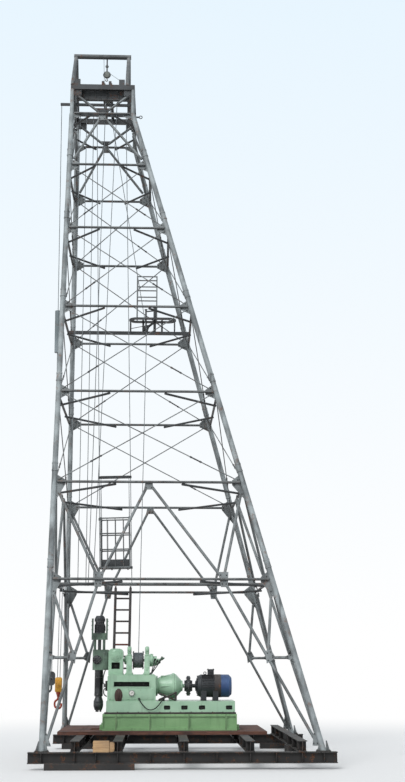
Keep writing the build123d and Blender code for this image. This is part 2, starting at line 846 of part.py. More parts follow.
# Hook block on the foot of the line
with BuildPart() as hook_block:
    block_middle = line_foot - up * (hook_block_height / 2 + 2 * seat_gap)
    with BuildSketch(Plane(origin=block_middle, x_dir=(1, 0, 0), z_dir=(0, -1, 0))) as cheek:
        SlotOverall(hook_block_height, hook_block_width, rotation=90)
    extrude(cheek.sketch, amount=hook_block_thickness / 2, both=True)
    hook_top = block_middle - up * (hook_block_height / 2 - hook_bar_radius)
    with BuildLine(Plane(origin=hook_top, x_dir=(1, 0, 0), z_dir=(0, -1, 0))) as hook_path:
        stem = Line((0, 0), (0, -hook_radius))
        JernArc(start=stem @ 1, tangent=stem % 1, radius=hook_radius, arc_size=hook_sweep)
    with BuildSketch(Plane(origin=hook_top, z_dir=(0, 0, -1))) as hook_section:
        Circle(hook_bar_radius)
    sweep(hook_section.sketch, path=hook_path.line)
save(hook_block, "hook_block")

# Monkey board on the fourth level
board_ends = cross_beam_ends(level_heights[3], board_y)
board_beam_z = max(end.Z for end in board_ends)
board_z = board_beam_z + board_beam_size + board_rise
with BuildPart() as board_beam:
    block((board_ends[0].X, board_y - board_beam_size / 2, board_beam_z),
          (board_ends[1].X, board_y + board_beam_size / 2, board_beam_z + board_beam_size))
    seat = girt_top("left", level_heights[3], board_y)
    block((seat.X - girt_radius, board_y - board_beam_size / 2, seat.Z),
          (seat.X + girt_radius, board_y + board_beam_size / 2, board_beam_z))
    post_half = board_post_size / 2
    for sign in (-1, 1):
        x = (board_left + board_right) / 2 + sign * board_post_spread
        post_bottom = board_beam_z + board_beam_size + seat_gap
        block((x - post_half, board_y - post_half, post_bottom),
              (x + post_half, board_y + post_half, board_z - board_post_size - seat_gap))
        block((x - post_half, board_y - board_depth / 2, board_z - board_post_size),
              (x + post_half, board_y + board_depth / 2, board_z - seat_gap))
save(board_beam, "board_beam")

with BuildPart() as monkey_board:
    with BuildSketch(Plane.XY.offset(board_z)):
        with Locations(((board_left + board_right) / 2, board_y)):
            SlotOverall(board_right - board_left, board_depth)
            SlotOverall(board_right - board_left - 2 * board_rim, board_depth - 2 * board_rim, mode=Mode.SUBTRACT)
    extrude(amount=board_thickness)
save(monkey_board, "monkey_board")

guard_base = board_z + board_thickness
guard_middle = Vector(board_left + board_depth / 2 + board_guard_width / 2, board_y, guard_base)
guard_half_depth = board_depth / 2 - 3 * board_rail_radius
guard_shares = (0.5, 0.75, 1.0)
with BuildPart() as board_guard:
    corner_posts(board_guard_width / 2, guard_half_depth, seat_gap, board_guard_height + board_rail_radius,
                 guard_middle, board_rail_radius)
    for share in guard_shares:
        rail_loop(board_guard_width / 2, guard_half_depth, board_guard_height * share, guard_middle,
                  board_rail_radius)
save(board_guard, "board_guard")

# Ladder from the deck to the back girt of the first level
back_face = tower_faces["back"]
back_girt = back_face.world((back_face.corner(0, level_heights[0]) + back_face.corner(1, level_heights[0])) * 0.5,
                            girt_lift)
ladder_top = Vector(0, back_girt.Y - girt_radius - ladder_rail_size / 2 - gusset_thickness, back_girt.Z + 150)
ladder_foot = Vector(0, ladder_foot_y, deck_top)
ladder_run = ladder_top - ladder_foot
ladder_right = ladder_left + ladder_width
ladder_plane = Plane(origin=ladder_foot, x_dir=(1, 0, 0), z_dir=ladder_run)
with BuildPart() as ladder:
    for x in (ladder_left + ladder_rail_size / 2, ladder_right - ladder_rail_size / 2):
        with BuildSketch(ladder_plane) as rail:
            with Locations((x, 0)):
                Rectangle(ladder_rail_size, ladder_rail_size)
        extrude(rail.sketch, amount=ladder_run.length, both=True)
    split(bisect_by=Plane.XY.offset(deck_top), keep=Keep.TOP)
    rung_count = int(ladder_run.length / ladder_rung_pitch)
    for index in range(1, rung_count + 1):
        at = ladder_foot + ladder_run.normalized() * (index * ladder_rung_pitch - ladder_rung_pitch / 3)
        bar(Vector(ladder_left + ladder_rail_size + seat_gap, at.Y, at.Z),
            Vector(ladder_right - ladder_rail_size - seat_gap, at.Y, at.Z), ladder_rung_radius, up, rod_sides)
save(ladder, "ladder")

# Drilling machine: ribbed base, sliding skid, gearbox, hoist, spindle feed and drive
base_top = deck_top + machine_base_height
with BuildPart() as machine_base:
    block((machine_left, -machine_depth / 2, deck_top), (machine_right, machine_depth / 2, base_top))
    for low_share, high_share in zip(rib_shares, rib_shares[1:]):
        panel_left = machine_left + machine_length * low_share + rib_half
        panel_right = machine_left + machine_length * high_share - rib_half
        for sign in (-1, 1):
            with Locations(((panel_left + panel_right) / 2, sign * machine_depth / 2, (deck_top + base_top) / 2)):
                Box(panel_right - panel_left, 2 * panel_recess, machine_base_height - 2 * base_flange,
                    mode=Mode.SUBTRACT)
save(machine_base, "machine_base")

skid_top = base_top + skid_height
with BuildPart() as machine_skid:
    block((skid_left, -skid_depth / 2, base_top), (skid_right, skid_depth / 2, skid_top))
    for sign in (-1, 1):
        with BuildSketch(Plane.XZ.offset(sign * skid_depth / 2)) as slots:
            with Locations(*[(skid_left + (skid_right - skid_left) * share, base_top + skid_height / 2) for share in slot_shares]):
                RectangleRounded(slot_length, slot_height, slot_height / 4)
        extrude(slots.sketch, amount=slot_depth, both=True, mode=Mode.SUBTRACT)
save(machine_skid, "machine_skid")

gearbox_top = skid_top + gearbox_height
with BuildPart() as gearbox:
    block((gearbox_left, -gearbox_depth / 2, skid_top), (gearbox_right, gearbox_depth / 2, gearbox_top))
    fillet(gearbox.edges().filter_by(Axis.Y).group_by(Axis.Z)[-1], gearbox_edge)
    for sign in (-1, 1):
        with Locations(((gearbox_left + gearbox_right) / 2, sign * gearbox_depth / 2,
                        gearbox_top - recess_margin - recess_height / 2)):
            Box(gearbox_length - 2 * recess_margin, 2 * recess_depth, recess_height, mode=Mode.SUBTRACT)
save(gearbox, "gearbox")

drum_z = gearbox_top + drum_height
plate_gap = drum_width / 2 + 2 * bar_gap
with BuildPart() as hoist_brackets:
    for sign in (-1, 1):
        plate_x = drum_x + sign * (plate_gap + hoist_plate_thickness / 2)
        with BuildSketch(Plane(origin=(plate_x, 0, gearbox_top), x_dir=(0, 1, 0), z_dir=(1, 0, 0))) as plate:
            with BuildLine():
                outline_half = hoist_plate_depth / 2
                crest = drum_height + drum_flange_radius / 2
                Polyline((-outline_half, 0), (outline_half, 0), (outline_half * 0.55, crest),
                         (-outline_half * 0.55, crest), close=True)
            make_face()
            with Locations((0, drum_height)):
                Circle(drum_shaft_radius + running_gap, mode=Mode.SUBTRACT)
        extrude(plate.sketch, amount=hoist_plate_thickness / 2, both=True)
save(hoist_brackets, "hoist_brackets")

with BuildPart() as hoist_drum:
    half = drum_width / 2
    shaft_end = plate_gap + hoist_plate_thickness - bar_gap
    with BuildSketch(Plane.XZ):
        with BuildLine():
            Polyline(
                (-shaft_end, 0), (-shaft_end, drum_shaft_radius), (-half, drum_shaft_radius),
                (-half, drum_flange_radius), (-half + drum_flange, drum_flange_radius),
                (-half + drum_flange, drum_radius), (half - drum_flange, drum_radius),
                (half - drum_flange, drum_flange_radius), (half, drum_flange_radius),
                (half, drum_shaft_radius), (shaft_end, drum_shaft_radius), (shaft_end, 0), close=True,
            )
        make_face()
    revolve(axis=Axis.X)
hoist_drum.part.locate(Location((drum_x, 0, drum_z)))
save(hoist_drum, "hoist_drum")

with BuildPart() as hoist_brake:
    brake_left = drum_x + plate_gap + hoist_plate_thickness + seat_gap
    with BuildSketch(Plane.XZ):
        with BuildLine():
            Polyline(
                (0, 0), (0, brake_radius), (brake_length * 0.3, brake_radius),
                (brake_length * 0.36, brake_radius * 0.62), (brake_length * 0.7, brake_radius * 0.62),
                (brake_length * 0.7, drum_shaft_radius), (brake_length, drum_shaft_radius), (brake_length, 0),
                close=True,
            )
        make_face()
    revolve(axis=Axis.X)
hoist_brake.part.locate(Location((brake_left, 0, drum_z)))
save(hoist_brake, "hoist_brake")

# Hoist line: up from the drum, through an eye at the monkey board, to the crown sheave
line_eye = Vector(line_eye_x, board_y - board_depth / 2 - line_eye_gap, board_beam_z + board_beam_size / 2)
groove_seat = sheave_radius - sheave_groove_depth + (rope_radius + 4 * running_gap) * 2 ** 0.5
drum_leave = Vector(drum_x, drum_radius + rope_radius + 2 * running_gap, drum_z)
with BuildPart() as hoist_line:
    with BuildLine() as route:
        FilletPolyline(drum_leave, line_eye, Vector(sheave_x, groove_seat, sheave_z), radius=line_bend_radius)
    with BuildSketch(Plane(origin=route.line @ 0, z_dir=route.line % 0)) as section:
        Circle(rope_radius)
    sweep(section.sketch, path=route.line)
save(hoist_line, "hoist_line")

with BuildPart() as line_guide:
    with BuildSketch(Plane.XY.offset(line_eye.Z - line_guide_height / 2)) as ring:
        with Locations((line_eye.X, line_eye.Y)):
            Circle(line_guide_radius)
            Circle(line_guide_radius - line_guide_wall, mode=Mode.SUBTRACT)
    extrude(ring.sketch, amount=line_guide_height)
    block((line_eye.X - line_guide_wall, line_eye.Y + line_guide_radius - line_guide_wall / 2,
           line_eye.Z - line_guide_wall),
          (line_eye.X + line_guide_wall, board_y - board_beam_size / 2 - seat_gap, line_eye.Z + line_guide_wall))
save(line_guide, "line_guide")

# Bevel gear housing beside the hoist
housing_x = housing_left + housing_width / 2
housing_bottom = gearbox_top + housing_foot_height
with BuildPart() as gear_housing:
    with BuildSketch(Plane.XZ) as outline:
        with Locations((housing_x, housing_bottom + housing_height / 2)):
            RectangleRounded(housing_width, housing_height, housing_corner)
        with Locations((housing_x, gearbox_top + housing_foot_height / 2 + housing_corner / 2)):
            Rectangle(housing_width, housing_foot_height + housing_corner)
    extrude(outline.sketch, amount=housing_depth / 2, both=True)
    for sign in (-1, 1):
        with Locations((housing_x, sign * housing_depth / 2, housing_bottom - housing_pocket_height / 2)):
            Box(housing_pocket_width, 2 * housing_pocket_depth, housing_pocket_height, mode=Mode.SUBTRACT)
save(gear_housing, "gear_housing")

# Spindle head with its feed rods, crosshead and chucks
head_right = housing_left - running_gap
with BuildPart() as spindle_head:
    block((head_left, -head_half_depth, head_bottom), (head_right, head_half_depth, head_top))
    fillet(spindle_head.edges().filter_by(Axis.Z).group_by(Axis.X)[0], head_half_depth / 2)
    with Locations((spindle_x, 0, head_bottom)):
        Cylinder(sleeve_radius + sleeve_gap, 2 * sleeve_bore_height, mode=Mode.SUBTRACT)
    with Locations((spindle_x, 0, head_top)):
        Cylinder(spindle_radius + sleeve_gap, 2 * (head_top - head_bottom), mode=Mode.SUBTRACT)
    with Locations((spindle_x - feed_rod_spread, 0, head_top), (spindle_x + feed_rod_spread, 0, head_top)):
        Cylinder(feed_rod_radius + running_gap, 2 * feed_bore_depth, mode=Mode.SUBTRACT)
save(spindle_head, "spindle_head")

crosshead_top = crosshead_bottom + crosshead_height
with BuildPart() as feed_crosshead:
    with BuildSketch(Plane.XY.offset(crosshead_bottom)) as plate:
        with Locations((spindle_x, 0)):
            SlotCenterToCenter(2 * feed_rod_spread, 2 * crosshead_radius)
            Circle(spindle_radius + running_gap, mode=Mode.SUBTRACT)
    extrude(plate.sketch, amount=crosshead_height)
    for sign in (-1, 1):
        rod_x = spindle_x + sign * feed_rod_spread
        tube(Vector(rod_x, 0, head_top - feed_rod_depth), Vector(rod_x, 0, crosshead_bottom), feed_rod_radius)
        cheek_x = spindle_x + sign * (feed_rod_spread + crosshead_radius - cheek_thickness / 2)
        block((cheek_x - cheek_thickness / 2, -cheek_half_depth, crosshead_bottom),
              (cheek_x + cheek_thickness / 2, cheek_half_depth, crosshead_top + cheek_height))
save(feed_crosshead, "feed_crosshead")

with BuildPart() as spindle:
    upper_chuck = crosshead_top + running_gap
    rim_height = (spindle_top - upper_chuck) / 6
    with BuildSketch(Plane.XZ):
        with BuildLine():
            Polyline(
                (0, chuck_bottom), (chuck_radius * 0.75, chuck_bottom), (chuck_radius, chuck_bottom + 90),
                (chuck_radius, chuck_bottom + 200), (chuck_radius * 0.7, sleeve_bottom - 20),
                (chuck_radius * 0.7, sleeve_bottom), (sleeve_radius, sleeve_bottom), (sleeve_radius, head_bottom),
                (spindle_radius, head_bottom), (spindle_radius, upper_chuck), (upper_chuck_radius, upper_chuck),
                (upper_chuck_radius, spindle_top - 3 * rim_height),
                (upper_chuck_radius * 0.85, spindle_top - 3 * rim_height),
                (upper_chuck_radius * 0.85, spindle_top - 2 * rim_height),
                (upper_chuck_radius, spindle_top - 2 * rim_height), (upper_chuck_radius, spindle_top - rim_height),
                (upper_chuck_radius * 0.7, spindle_top), (0, spindle_top), close=True,
            )
        make_face()
    revolve(axis=Axis.Z)
spindle.part.locate(Location((spindle_x, 0, 0)))
save(spindle, "spindle")

# Drive: transfer case, coupling and motor on one shaft line
shaft_z = skid_top + shaft_height
with BuildPart() as transfer_case:
    with BuildSketch(Plane.XZ):
        with BuildLine():
            shaft_reach = coupling_left + coupling_length * 0.4 - gearbox_right
            Polyline(
                (0, 0), *((station * case_stretch, radius) for station, radius in case_profile),
                (case_length, drive_shaft_radius),
                (shaft_reach, drive_shaft_radius), (shaft_reach, 0), close=True,
            )
        make_face()
    revolve(axis=Axis.X)
    case_bottom = -max(radius for station, radius in case_profile)
    foot_left = case_foot_offset * case_stretch
    foot_right = foot_left + case_foot_length * case_stretch
    block((foot_left, -case_foot_depth / 2, -shaft_height), (foot_right, case_foot_depth / 2, case_bottom - seat_gap))
transfer_case.part.locate(Location((gearbox_right, 0, shaft_z)))
save(transfer_case, "transfer_case")

with BuildPart() as coupling:
    with BuildSketch(Plane.XZ):
        with BuildLine():
            bore = drive_shaft_radius + running_gap
            waist = coupling_radius * 0.55
            rim = coupling_length * 0.3
            Polyline(
                (0, bore), (0, waist), (rim, waist), (rim, coupling_radius),
                (coupling_length - rim, coupling_radius), (coupling_length - rim, waist),
                (coupling_length, waist), (coupling_length, bore), close=True,
            )
        make_face()
    revolve(axis=Axis.X)
coupling.part.locate(Location((coupling_left, 0, shaft_z)))
save(coupling, "coupling")

with BuildPart() as motor:
    frame_right = motor_left + motor_length - cowl_length
    with BuildSketch(Plane.XZ):
        with BuildLine():
            shaft_start = coupling_left + coupling_length * 0.6
            Polyline(
                (shaft_start, 0), (shaft_start, drive_shaft_radius), (motor_left, drive_shaft_radius),
                (motor_left, motor_radius * 0.6), (motor_left + motor_corner * 0.3, motor_radius * 0.88),
                (motor_left + motor_corner, motor_radius),
                (frame_right, motor_radius), (frame_right, 0), close=True,
            )
        make_face()
    revolve(axis=Axis.X)
    box_half = terminal_box_size / 2
    block((terminal_box_x - box_half, -box_half, 0),
          (terminal_box_x + box_half, box_half, motor_radius + terminal_box_rise))
motor.part.locate(Location((0, 0, shaft_z)))
save(motor, "motor")

with BuildPart() as motor_feet:
    for x in (motor_left + motor_corner + foot_length / 2, frame_right - foot_length):
        block((x - foot_length / 2, -foot_depth / 2, skid_top), (x + foot_length / 2, foot_depth / 2, shaft_z))
    with Locations(Location(((motor_left + frame_right) / 2, 0, shaft_z), (0, 90, 0))):
        Cylinder(motor_radius + seat_gap, 2 * motor_length, mode=Mode.SUBTRACT)
save(motor_feet, "motor_feet")

with BuildPart() as fan_cowl:
    with BuildSketch(Plane.XZ):
        with BuildLine():
            cowl_end = frame_right + cowl_length
            Polyline(
                (frame_right, 0), (frame_right, motor_radius), (cowl_end - cowl_edge, motor_radius),
                (cowl_end, motor_radius - cowl_edge), (cowl_end, 0), close=True,
            )
        make_face()
    revolve(axis=Axis.X)
fan_cowl.part.locate(Location((0, 0, shaft_z)))
save(fan_cowl, "fan_cowl")
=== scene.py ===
import json
import math
import bpy
from mathutils import Matrix, Vector


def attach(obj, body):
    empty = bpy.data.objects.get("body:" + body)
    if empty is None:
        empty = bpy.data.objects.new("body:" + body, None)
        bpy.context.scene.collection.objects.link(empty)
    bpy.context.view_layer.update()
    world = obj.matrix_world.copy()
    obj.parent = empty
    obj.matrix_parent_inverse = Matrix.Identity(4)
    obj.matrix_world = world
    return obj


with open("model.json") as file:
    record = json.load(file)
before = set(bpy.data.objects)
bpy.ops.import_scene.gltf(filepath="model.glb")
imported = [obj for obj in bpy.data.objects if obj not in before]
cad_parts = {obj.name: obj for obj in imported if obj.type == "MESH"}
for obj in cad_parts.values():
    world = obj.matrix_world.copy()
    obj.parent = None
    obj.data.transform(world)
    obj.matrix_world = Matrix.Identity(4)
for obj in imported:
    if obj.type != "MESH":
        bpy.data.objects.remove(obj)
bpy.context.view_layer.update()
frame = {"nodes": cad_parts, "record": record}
print("frame loaded:", len(frame["nodes"]), "nodes")


# finishes
class Wire:
    def __init__(self, coat, socket):
        self.coat, self.socket = coat, socket

    def combined(self, operation, first, second):
        return self.coat.node("ShaderNodeMath", {"operation": operation}, {0: first, 1: second})

    def __add__(self, other):
        return self.combined("ADD", self, other)

    def __rsub__(self, other):
        return self.combined("SUBTRACT", other, self)

    def __mul__(self, other):
        return self.combined("MULTIPLY", self, other)

    def larger(self, other):
        return self.combined("MAXIMUM", self, other)

    def between(self, low, high):
        return self.coat.node("ShaderNodeMapRange", {"interpolation_type": "SMOOTHSTEP"},
                              {"Value": self, "From Min": low, "From Max": high})

    __radd__ = __add__


class Coat:
    def __init__(self, name, store=bpy.data.materials):
        self.material = store.new(name)
        self.material.use_nodes = True
        self.tree = self.material.node_tree
        self.shader = next((n for n in self.tree.nodes if n.type == "BSDF_PRINCIPLED"), None)

    def node(self, kind, settings=None, sockets=None, out=0):
        made = self.tree.nodes.new(kind)
        for key, value in (settings or {}).items():
            setattr(made, key, value)
        for key, value in (sockets or {}).items():
            self.feed(made.inputs[key], value)
        return Wire(self, made.outputs[out])

    def feed(self, socket, value):
        if isinstance(value, Wire):
            self.tree.links.new(value.socket, socket)
        else:
            socket.default_value = (*value, 1) if socket.type == "RGBA" else value

    def surface(self, blend):
        self.feed(next(n for n in self.tree.nodes if n.type.startswith("OUTPUT")).inputs["Surface"], blend)

    def place(self, stretch=(1, 1, 1)):
        spot = self.node("ShaderNodeTexCoord", out="Object")
        return self.node("ShaderNodeMapping", None, {"Vector": spot, "Scale": stretch})

    def noise(self, scale, detail=4, stretch=(1, 1, 1), rough=0.55):
        return self.node("ShaderNodeTexNoise", None, {"Vector": self.place(stretch), "Scale": scale,
                                                      "Detail": detail, "Roughness": rough})

    def facing(self, axis):
        normal = self.node("ShaderNodeNewGeometry", out="Normal")
        return self.node("ShaderNodeSeparateXYZ", None, {0: normal}, out=axis)

    def edges(self, radius):
        rounded = self.node("ShaderNodeBevel", {"samples": 4}, {"Radius": radius})
        normal = self.node("ShaderNodeNewGeometry", out="Normal")
        lined = self.node("ShaderNodeVectorMath", {"operation": "DOT_PRODUCT"}, {0: rounded, 1: normal}, out="Value")
        return (1 - lined).between(0.01, 0.12)

    def mix(self, factor, first, second):
        return self.node("ShaderNodeMix", {"data_type": "RGBA"}, {0: factor, 6: first, 7: second}, out=2)

    def looks(self):   # rays that show the backdrop: straight, mirrored or through
        camera, glossy, through = (self.node("ShaderNodeLightPath", out=f"Is {kind} Ray")
                                   for kind in ("Camera", "Glossy", "Transmission"))
        return camera.larger(glossy).larger(through)

    def bump(self, height, strength, distance):
        return self.node("ShaderNodeBump", None, {"Height": height, "Strength": strength, "Distance": distance})

    def wear(self, colour, roughness, metallic=0.0, normal=None, coat=0.0):
        self.feed(self.shader.inputs["Base Color"], colour)
        self.feed(self.shader.inputs["Roughness"], roughness)
        self.feed(self.shader.inputs["Metallic"], metallic)
        self.feed(self.shader.inputs["Coat Weight"], coat)
        if normal:
            self.feed(self.shader.inputs["Normal"], normal)
        return self.material


def darker(tone, share):
    return tuple(v * share for v in tone)


weather = {"rustDark": (0.055, 0.026, 0.016), "rustLight": (0.21, 0.085, 0.038), "dust": (0.33, 0.3, 0.26),
           "bareSteel": (0.34, 0.33, 0.32), "clouds": 2.1, "grain": 38, "runs": 9, "patches": 5.3}


def steelPaint(name, paint, deep, rough=0.5, rust=0.5, dust=0.3, chip=0.5, streak=0.4, underShade=0.5, edge=0.006, coat=0.0):
    c = Coat(name)
    clouds, grain = c.noise(weather["clouds"], 5), c.noise(weather["grain"], 4)
    runs = c.noise(weather["runs"], 3, (1, 1, 0.08))   # drawn out down the piece
    base = c.mix(clouds.between(0.3, 0.7), deep, paint)
    base = c.mix(runs.between(0.52, 0.72) * streak, base, darker(deep, 0.42))
    # faces turned downwards are darkened towards a deep tone: painted shade under things
    under = c.facing("Z").between(0.1, -0.9)
    base = c.mix(under * underShade, base, darker(deep, 0.3))
    patches = (c.noise(weather["patches"], 6) * 0.7 + grain * 0.3).between(0.62 - 0.16 * rust, 0.72 - 0.12 * rust)
    patches = patches * min(1, rust * 1.4)
    rustTone = c.mix(grain.between(0.35, 0.65), weather["rustDark"], weather["rustLight"])
    base = c.mix(patches, base, rustTone)
    worn = c.edges(edge) * grain.between(0.38, 0.6) * chip
    base = c.mix(worn, base, c.mix(clouds.between(0.4, 0.6), rustTone, weather["bareSteel"]))
    upper = c.facing("Z").between(0.35, 0.95) * clouds.between(0.25, 0.7) * dust
    base = c.mix(upper, base, weather["dust"])
    dull = patches.larger(upper) * 0.4 + rough + grain * 0.12
    return c.wear(base, dull, worn * 0.5, c.bump(grain + patches * 1.5, 0.22, 0.0015), coat)


def timber(name, pale, dark, stain):
    c = Coat(name)
    stretch = (0.06, 1, 1)   # the grain runs along X
    fibre, rings = c.noise(62, 6, stretch), c.noise(13, 4, stretch)
    blotch = c.noise(2.4, 5)
    base = c.mix(fibre.between(0.3, 0.7), dark, pale)
    base = c.mix(rings.between(0.5, 0.68) * 0.6, base, darker(dark, 0.5))
    base = c.mix(blotch.between(0.42, 0.7) * 0.8, base, stain)
    base = c.mix(c.edges(0.008) * 0.6, base, darker(dark, 0.35))
    return c.wear(base, 0.85 + fibre * 0.1, 0.0, c.bump(fibre + rings, 0.5, 0.003))


def laidRope(name, bright, dark):
    c = Coat(name)
    lay = c.node("ShaderNodeTexWave", {"wave_type": "BANDS", "bands_direction": "DIAGONAL"},
                 {"Vector": c.place((1, 1, 0.5)), "Scale": 40.0, "Distortion": 0.4})
    grease = c.noise(7, 4)
    base = c.mix(lay.between(0.2, 0.8), dark, bright)
    base = c.mix(grease.between(0.5, 0.7) * 0.7, base, dark)
    return c.wear(base, 0.42 + grease * 0.3, 0.75, c.bump(lay, 0.6, 0.002))


def oiledSteel(name, bright, dark, rough, metal):
    c = Coat(name)
    film, grain = c.noise(4, 5), c.noise(70, 3, (1, 1, 0.2))
    base = c.mix(film.between(0.35, 0.65), dark, bright)
    worn = c.edges(0.006) * grain.between(0.35, 0.6)
    base = c.mix(worn * 0.8, base, (0.55, 0.54, 0.52))
    return c.wear(base, film * 0.3 + rough, metal, c.bump(grain, 0.15, 0.001))


def mottled(name, tone, other, scale, detail, low, high, rough):
    c = Coat(name)
    return c.wear(c.mix(c.noise(scale, detail).between(low, high), tone, other), rough)


finishes = {
    "tower_paint": steelPaint("towerPaint", (0.235, 0.26, 0.265), (0.105, 0.115, 0.118),
                              rough=0.5, rust=0.4, dust=0.35, chip=0.7, streak=0.8, underShade=0.92),
    "dark_steel": steelPaint("darkSteel", (0.045, 0.05, 0.054), (0.022, 0.025, 0.027),
                             rough=0.52, rust=0.4, dust=0.25, streak=0.5, underShade=0.7),
    "basket_steel": steelPaint("basketSteel", (0.14, 0.155, 0.16), (0.08, 0.088, 0.09), rough=0.52, rust=0.4, chip=0.6),
    "base_steel": steelPaint("baseSteel", (0.02, 0.018, 0.017), (0.01, 0.009, 0.009), rough=0.6, dust=0.16, streak=0.3),
    "machine_green": steelPaint("machineGreen", (0.4, 0.6, 0.43), (0.33, 0.53, 0.37), rough=0.33, rust=0.02,
                                dust=0.14, chip=0.35, streak=0.25, underShade=0.45, edge=0.004, coat=0.2),
    "base_green": steelPaint("baseGreen", (0.235, 0.43, 0.2), (0.185, 0.36, 0.16), rough=0.36, rust=0.06,
                             dust=0.2, chip=0.4, streak=0.35, edge=0.004, coat=0.15),
    "motor_charcoal": steelPaint("motorCharcoal", (0.022, 0.026, 0.03), (0.013, 0.016, 0.02),
                                 rough=0.42, rust=0.06, dust=0.25, chip=0.3, streak=0.2),
    "cowl_blue": steelPaint("cowlBlue", (0.03, 0.085, 0.22), (0.018, 0.05, 0.15),
                            rough=0.38, rust=0.05, dust=0.15, chip=0.4, streak=0.2),
    "hook_yellow": steelPaint("hookYellow", (0.72, 0.4, 0.035), (0.6, 0.22, 0.03),
                              rough=0.45, rust=0.34, dust=0.1, chip=0.7, streak=0.3),
    "ladder_steel": steelPaint("ladderBrown", (0.045, 0.035, 0.032), (0.025, 0.02, 0.02),
                               rough=0.55, rust=0.45, dust=0.25),
    "counterweight_steel": steelPaint("counterweightGrey", (0.2, 0.235, 0.25), (0.13, 0.16, 0.17), rust=0.35),
    "sheave_steel": oiledSteel("sheaveSteel", (0.2, 0.21, 0.19), (0.08, 0.085, 0.08), rough=0.45, metal=0.6),
    "worn_steel": oiledSteel("oiledSteel", (0.075, 0.078, 0.08), (0.022, 0.022, 0.024), rough=0.32, metal=0.7),
    "wire_rope": laidRope("wireRope", (0.3, 0.32, 0.33), (0.09, 0.1, 0.105)),
    "deck_timber": timber("deckPlank", (0.17, 0.075, 0.05), (0.085, 0.034, 0.024), (0.042, 0.026, 0.024)),
    "packing_timber": timber("packingTimber", (0.55, 0.37, 0.2), (0.4, 0.24, 0.12), (0.3, 0.2, 0.12)),
}
# darker copy of the machine green for the spindle head, feed crosshead, head trim and brake levers
darkMachineGreen = steelPaint("greasyGreen", (0.15, 0.24, 0.17), (0.05, 0.085, 0.06), rough=0.34, rust=0.12,
                    dust=0.1, streak=0.8, underShade=0.8, edge=0.004, coat=0.2)
# lighter copy of the tower paint for the legs and crown posts: painted light
legGrey = steelPaint("legGrey", (0.36, 0.4, 0.41), (0.15, 0.165, 0.17),
                     rust=0.4, chip=0.8, streak=0.85, underShade=0.95)
# darker copy of the tower paint for the girts, mid beam and gin frame: painted shade
girtGrey = steelPaint("girtGrey", (0.16, 0.172, 0.175), (0.07, 0.076, 0.078),
                      rough=0.52, rust=0.45, dust=0.4, chip=0.7, streak=0.7, underShade=0.95)
hatchBrown = steelPaint("hatchBrown", (0.075, 0.04, 0.03), (0.045, 0.025, 0.02), rough=0.55)
hookRed = steelPaint("hookRed", (0.36, 0.045, 0.015), (0.24, 0.025, 0.012), rough=0.45, rust=0.4)
rungRed = steelPaint("rungRed", (0.19, 0.035, 0.02), (0.11, 0.025, 0.018), rust=0.4)
dialWhite = mottled("dialWhite", (0.78, 0.78, 0.74), (0.62, 0.61, 0.55), 30, 4, 0.4, 0.7, 0.35)
# near-black finish: the own colour of the knobs, needle, pipe and valve, and painted shade on the plates at the backs
# of slots, the recess and pockets
recessBlack = mottled("recessBlack", (0.004, 0.005, 0.004), (0.016, 0.018, 0.015), 22, 5, 0.35, 0.7, 0.7)

slotOf = {row["node"]: row["material_slot"] for row in frame["record"]["subparts"]}
special = {"spindle_head": darkMachineGreen, "feed_crosshead": darkMachineGreen, "level_girts": girtGrey, "mid_beam": girtGrey,
           "crown_posts": legGrey, "hook_block": finishes["dark_steel"], "gin_frame": girtGrey}
special.update({name: legGrey for name in frame["nodes"] if name.startswith("leg_") and name != "leg_shoes"})
for name in frame["nodes"]:
    mesh = bpy.data.objects[name].data
    mesh.materials.clear()
    mesh.materials.append(special.get(name, finishes[slotOf[name]]))
print("finishes on", len(slotOf), "nodes")

# floor, light and camera
studio = {
    "floorSize": 400.0, "floorTone": (0.86, 0.86, 0.86), "fadeFrom": 7.0, "fadeTo": 22.0,
    "skyTop": (0.8, 0.915, 1.0), "skyLow": (1.0, 1.0, 1.0), "skyFrom": 0.02, "skyTo": 0.55,
    "skyLight": (0.93, 0.97, 1.0), "fill": 0.55, "sun": 2.0,
    "sunTurn": (math.radians(48), 0, math.radians(-28)), "sunSpread": math.radians(35)}
bpy.ops.object.select_all(action="DESELECT")
bpy.ops.mesh.primitive_plane_add(size=studio["floorSize"], location=(0, 0, 0))
floor = bpy.context.object
floor.name = "studioFloor"
c = Coat("paleFloor")
away = c.node("ShaderNodeVectorMath", {"operation": "LENGTH"}, {0: c.place()}, out="Value")
far = away.between(studio["fadeFrom"], studio["fadeTo"])
glow = c.node("ShaderNodeEmission", None, {"Color": (1, 1, 1), "Strength": 1.0})
c.wear(studio["floorTone"], 0.9)
c.surface(c.node("ShaderNodeMixShader", None, {0: far * c.looks(), 1: Wire(c, c.shader.outputs[0]), 2: glow}))
floor.data.materials.append(c.material)

sky = Coat("studioSky", bpy.data.worlds)
bpy.context.scene.world = sky.material
upward = sky.node("ShaderNodeSeparateXYZ", None, {0: sky.node("ShaderNodeTexCoord", out="Generated")}, out="Z")
rise = sky.node("ShaderNodeMapRange", None,
                {"Value": upward, "From Min": studio["skyFrom"], "From Max": studio["skyTo"]})
shown = sky.node("ShaderNodeBackground", None, {"Color": sky.mix(rise, studio["skyLow"], studio["skyTop"])})
lit = sky.node("ShaderNodeBackground", None, {"Color": studio["skyLight"], "Strength": studio["fill"]})
sky.surface(sky.node("ShaderNodeMixShader", None, {0: sky.looks(), 1: lit, 2: shown}))

bpy.ops.object.light_add(type="SUN", rotation=studio["sunTurn"])
sun = bpy.context.object
sun.data.energy, sun.data.angle = studio["sun"], studio["sunSpread"]

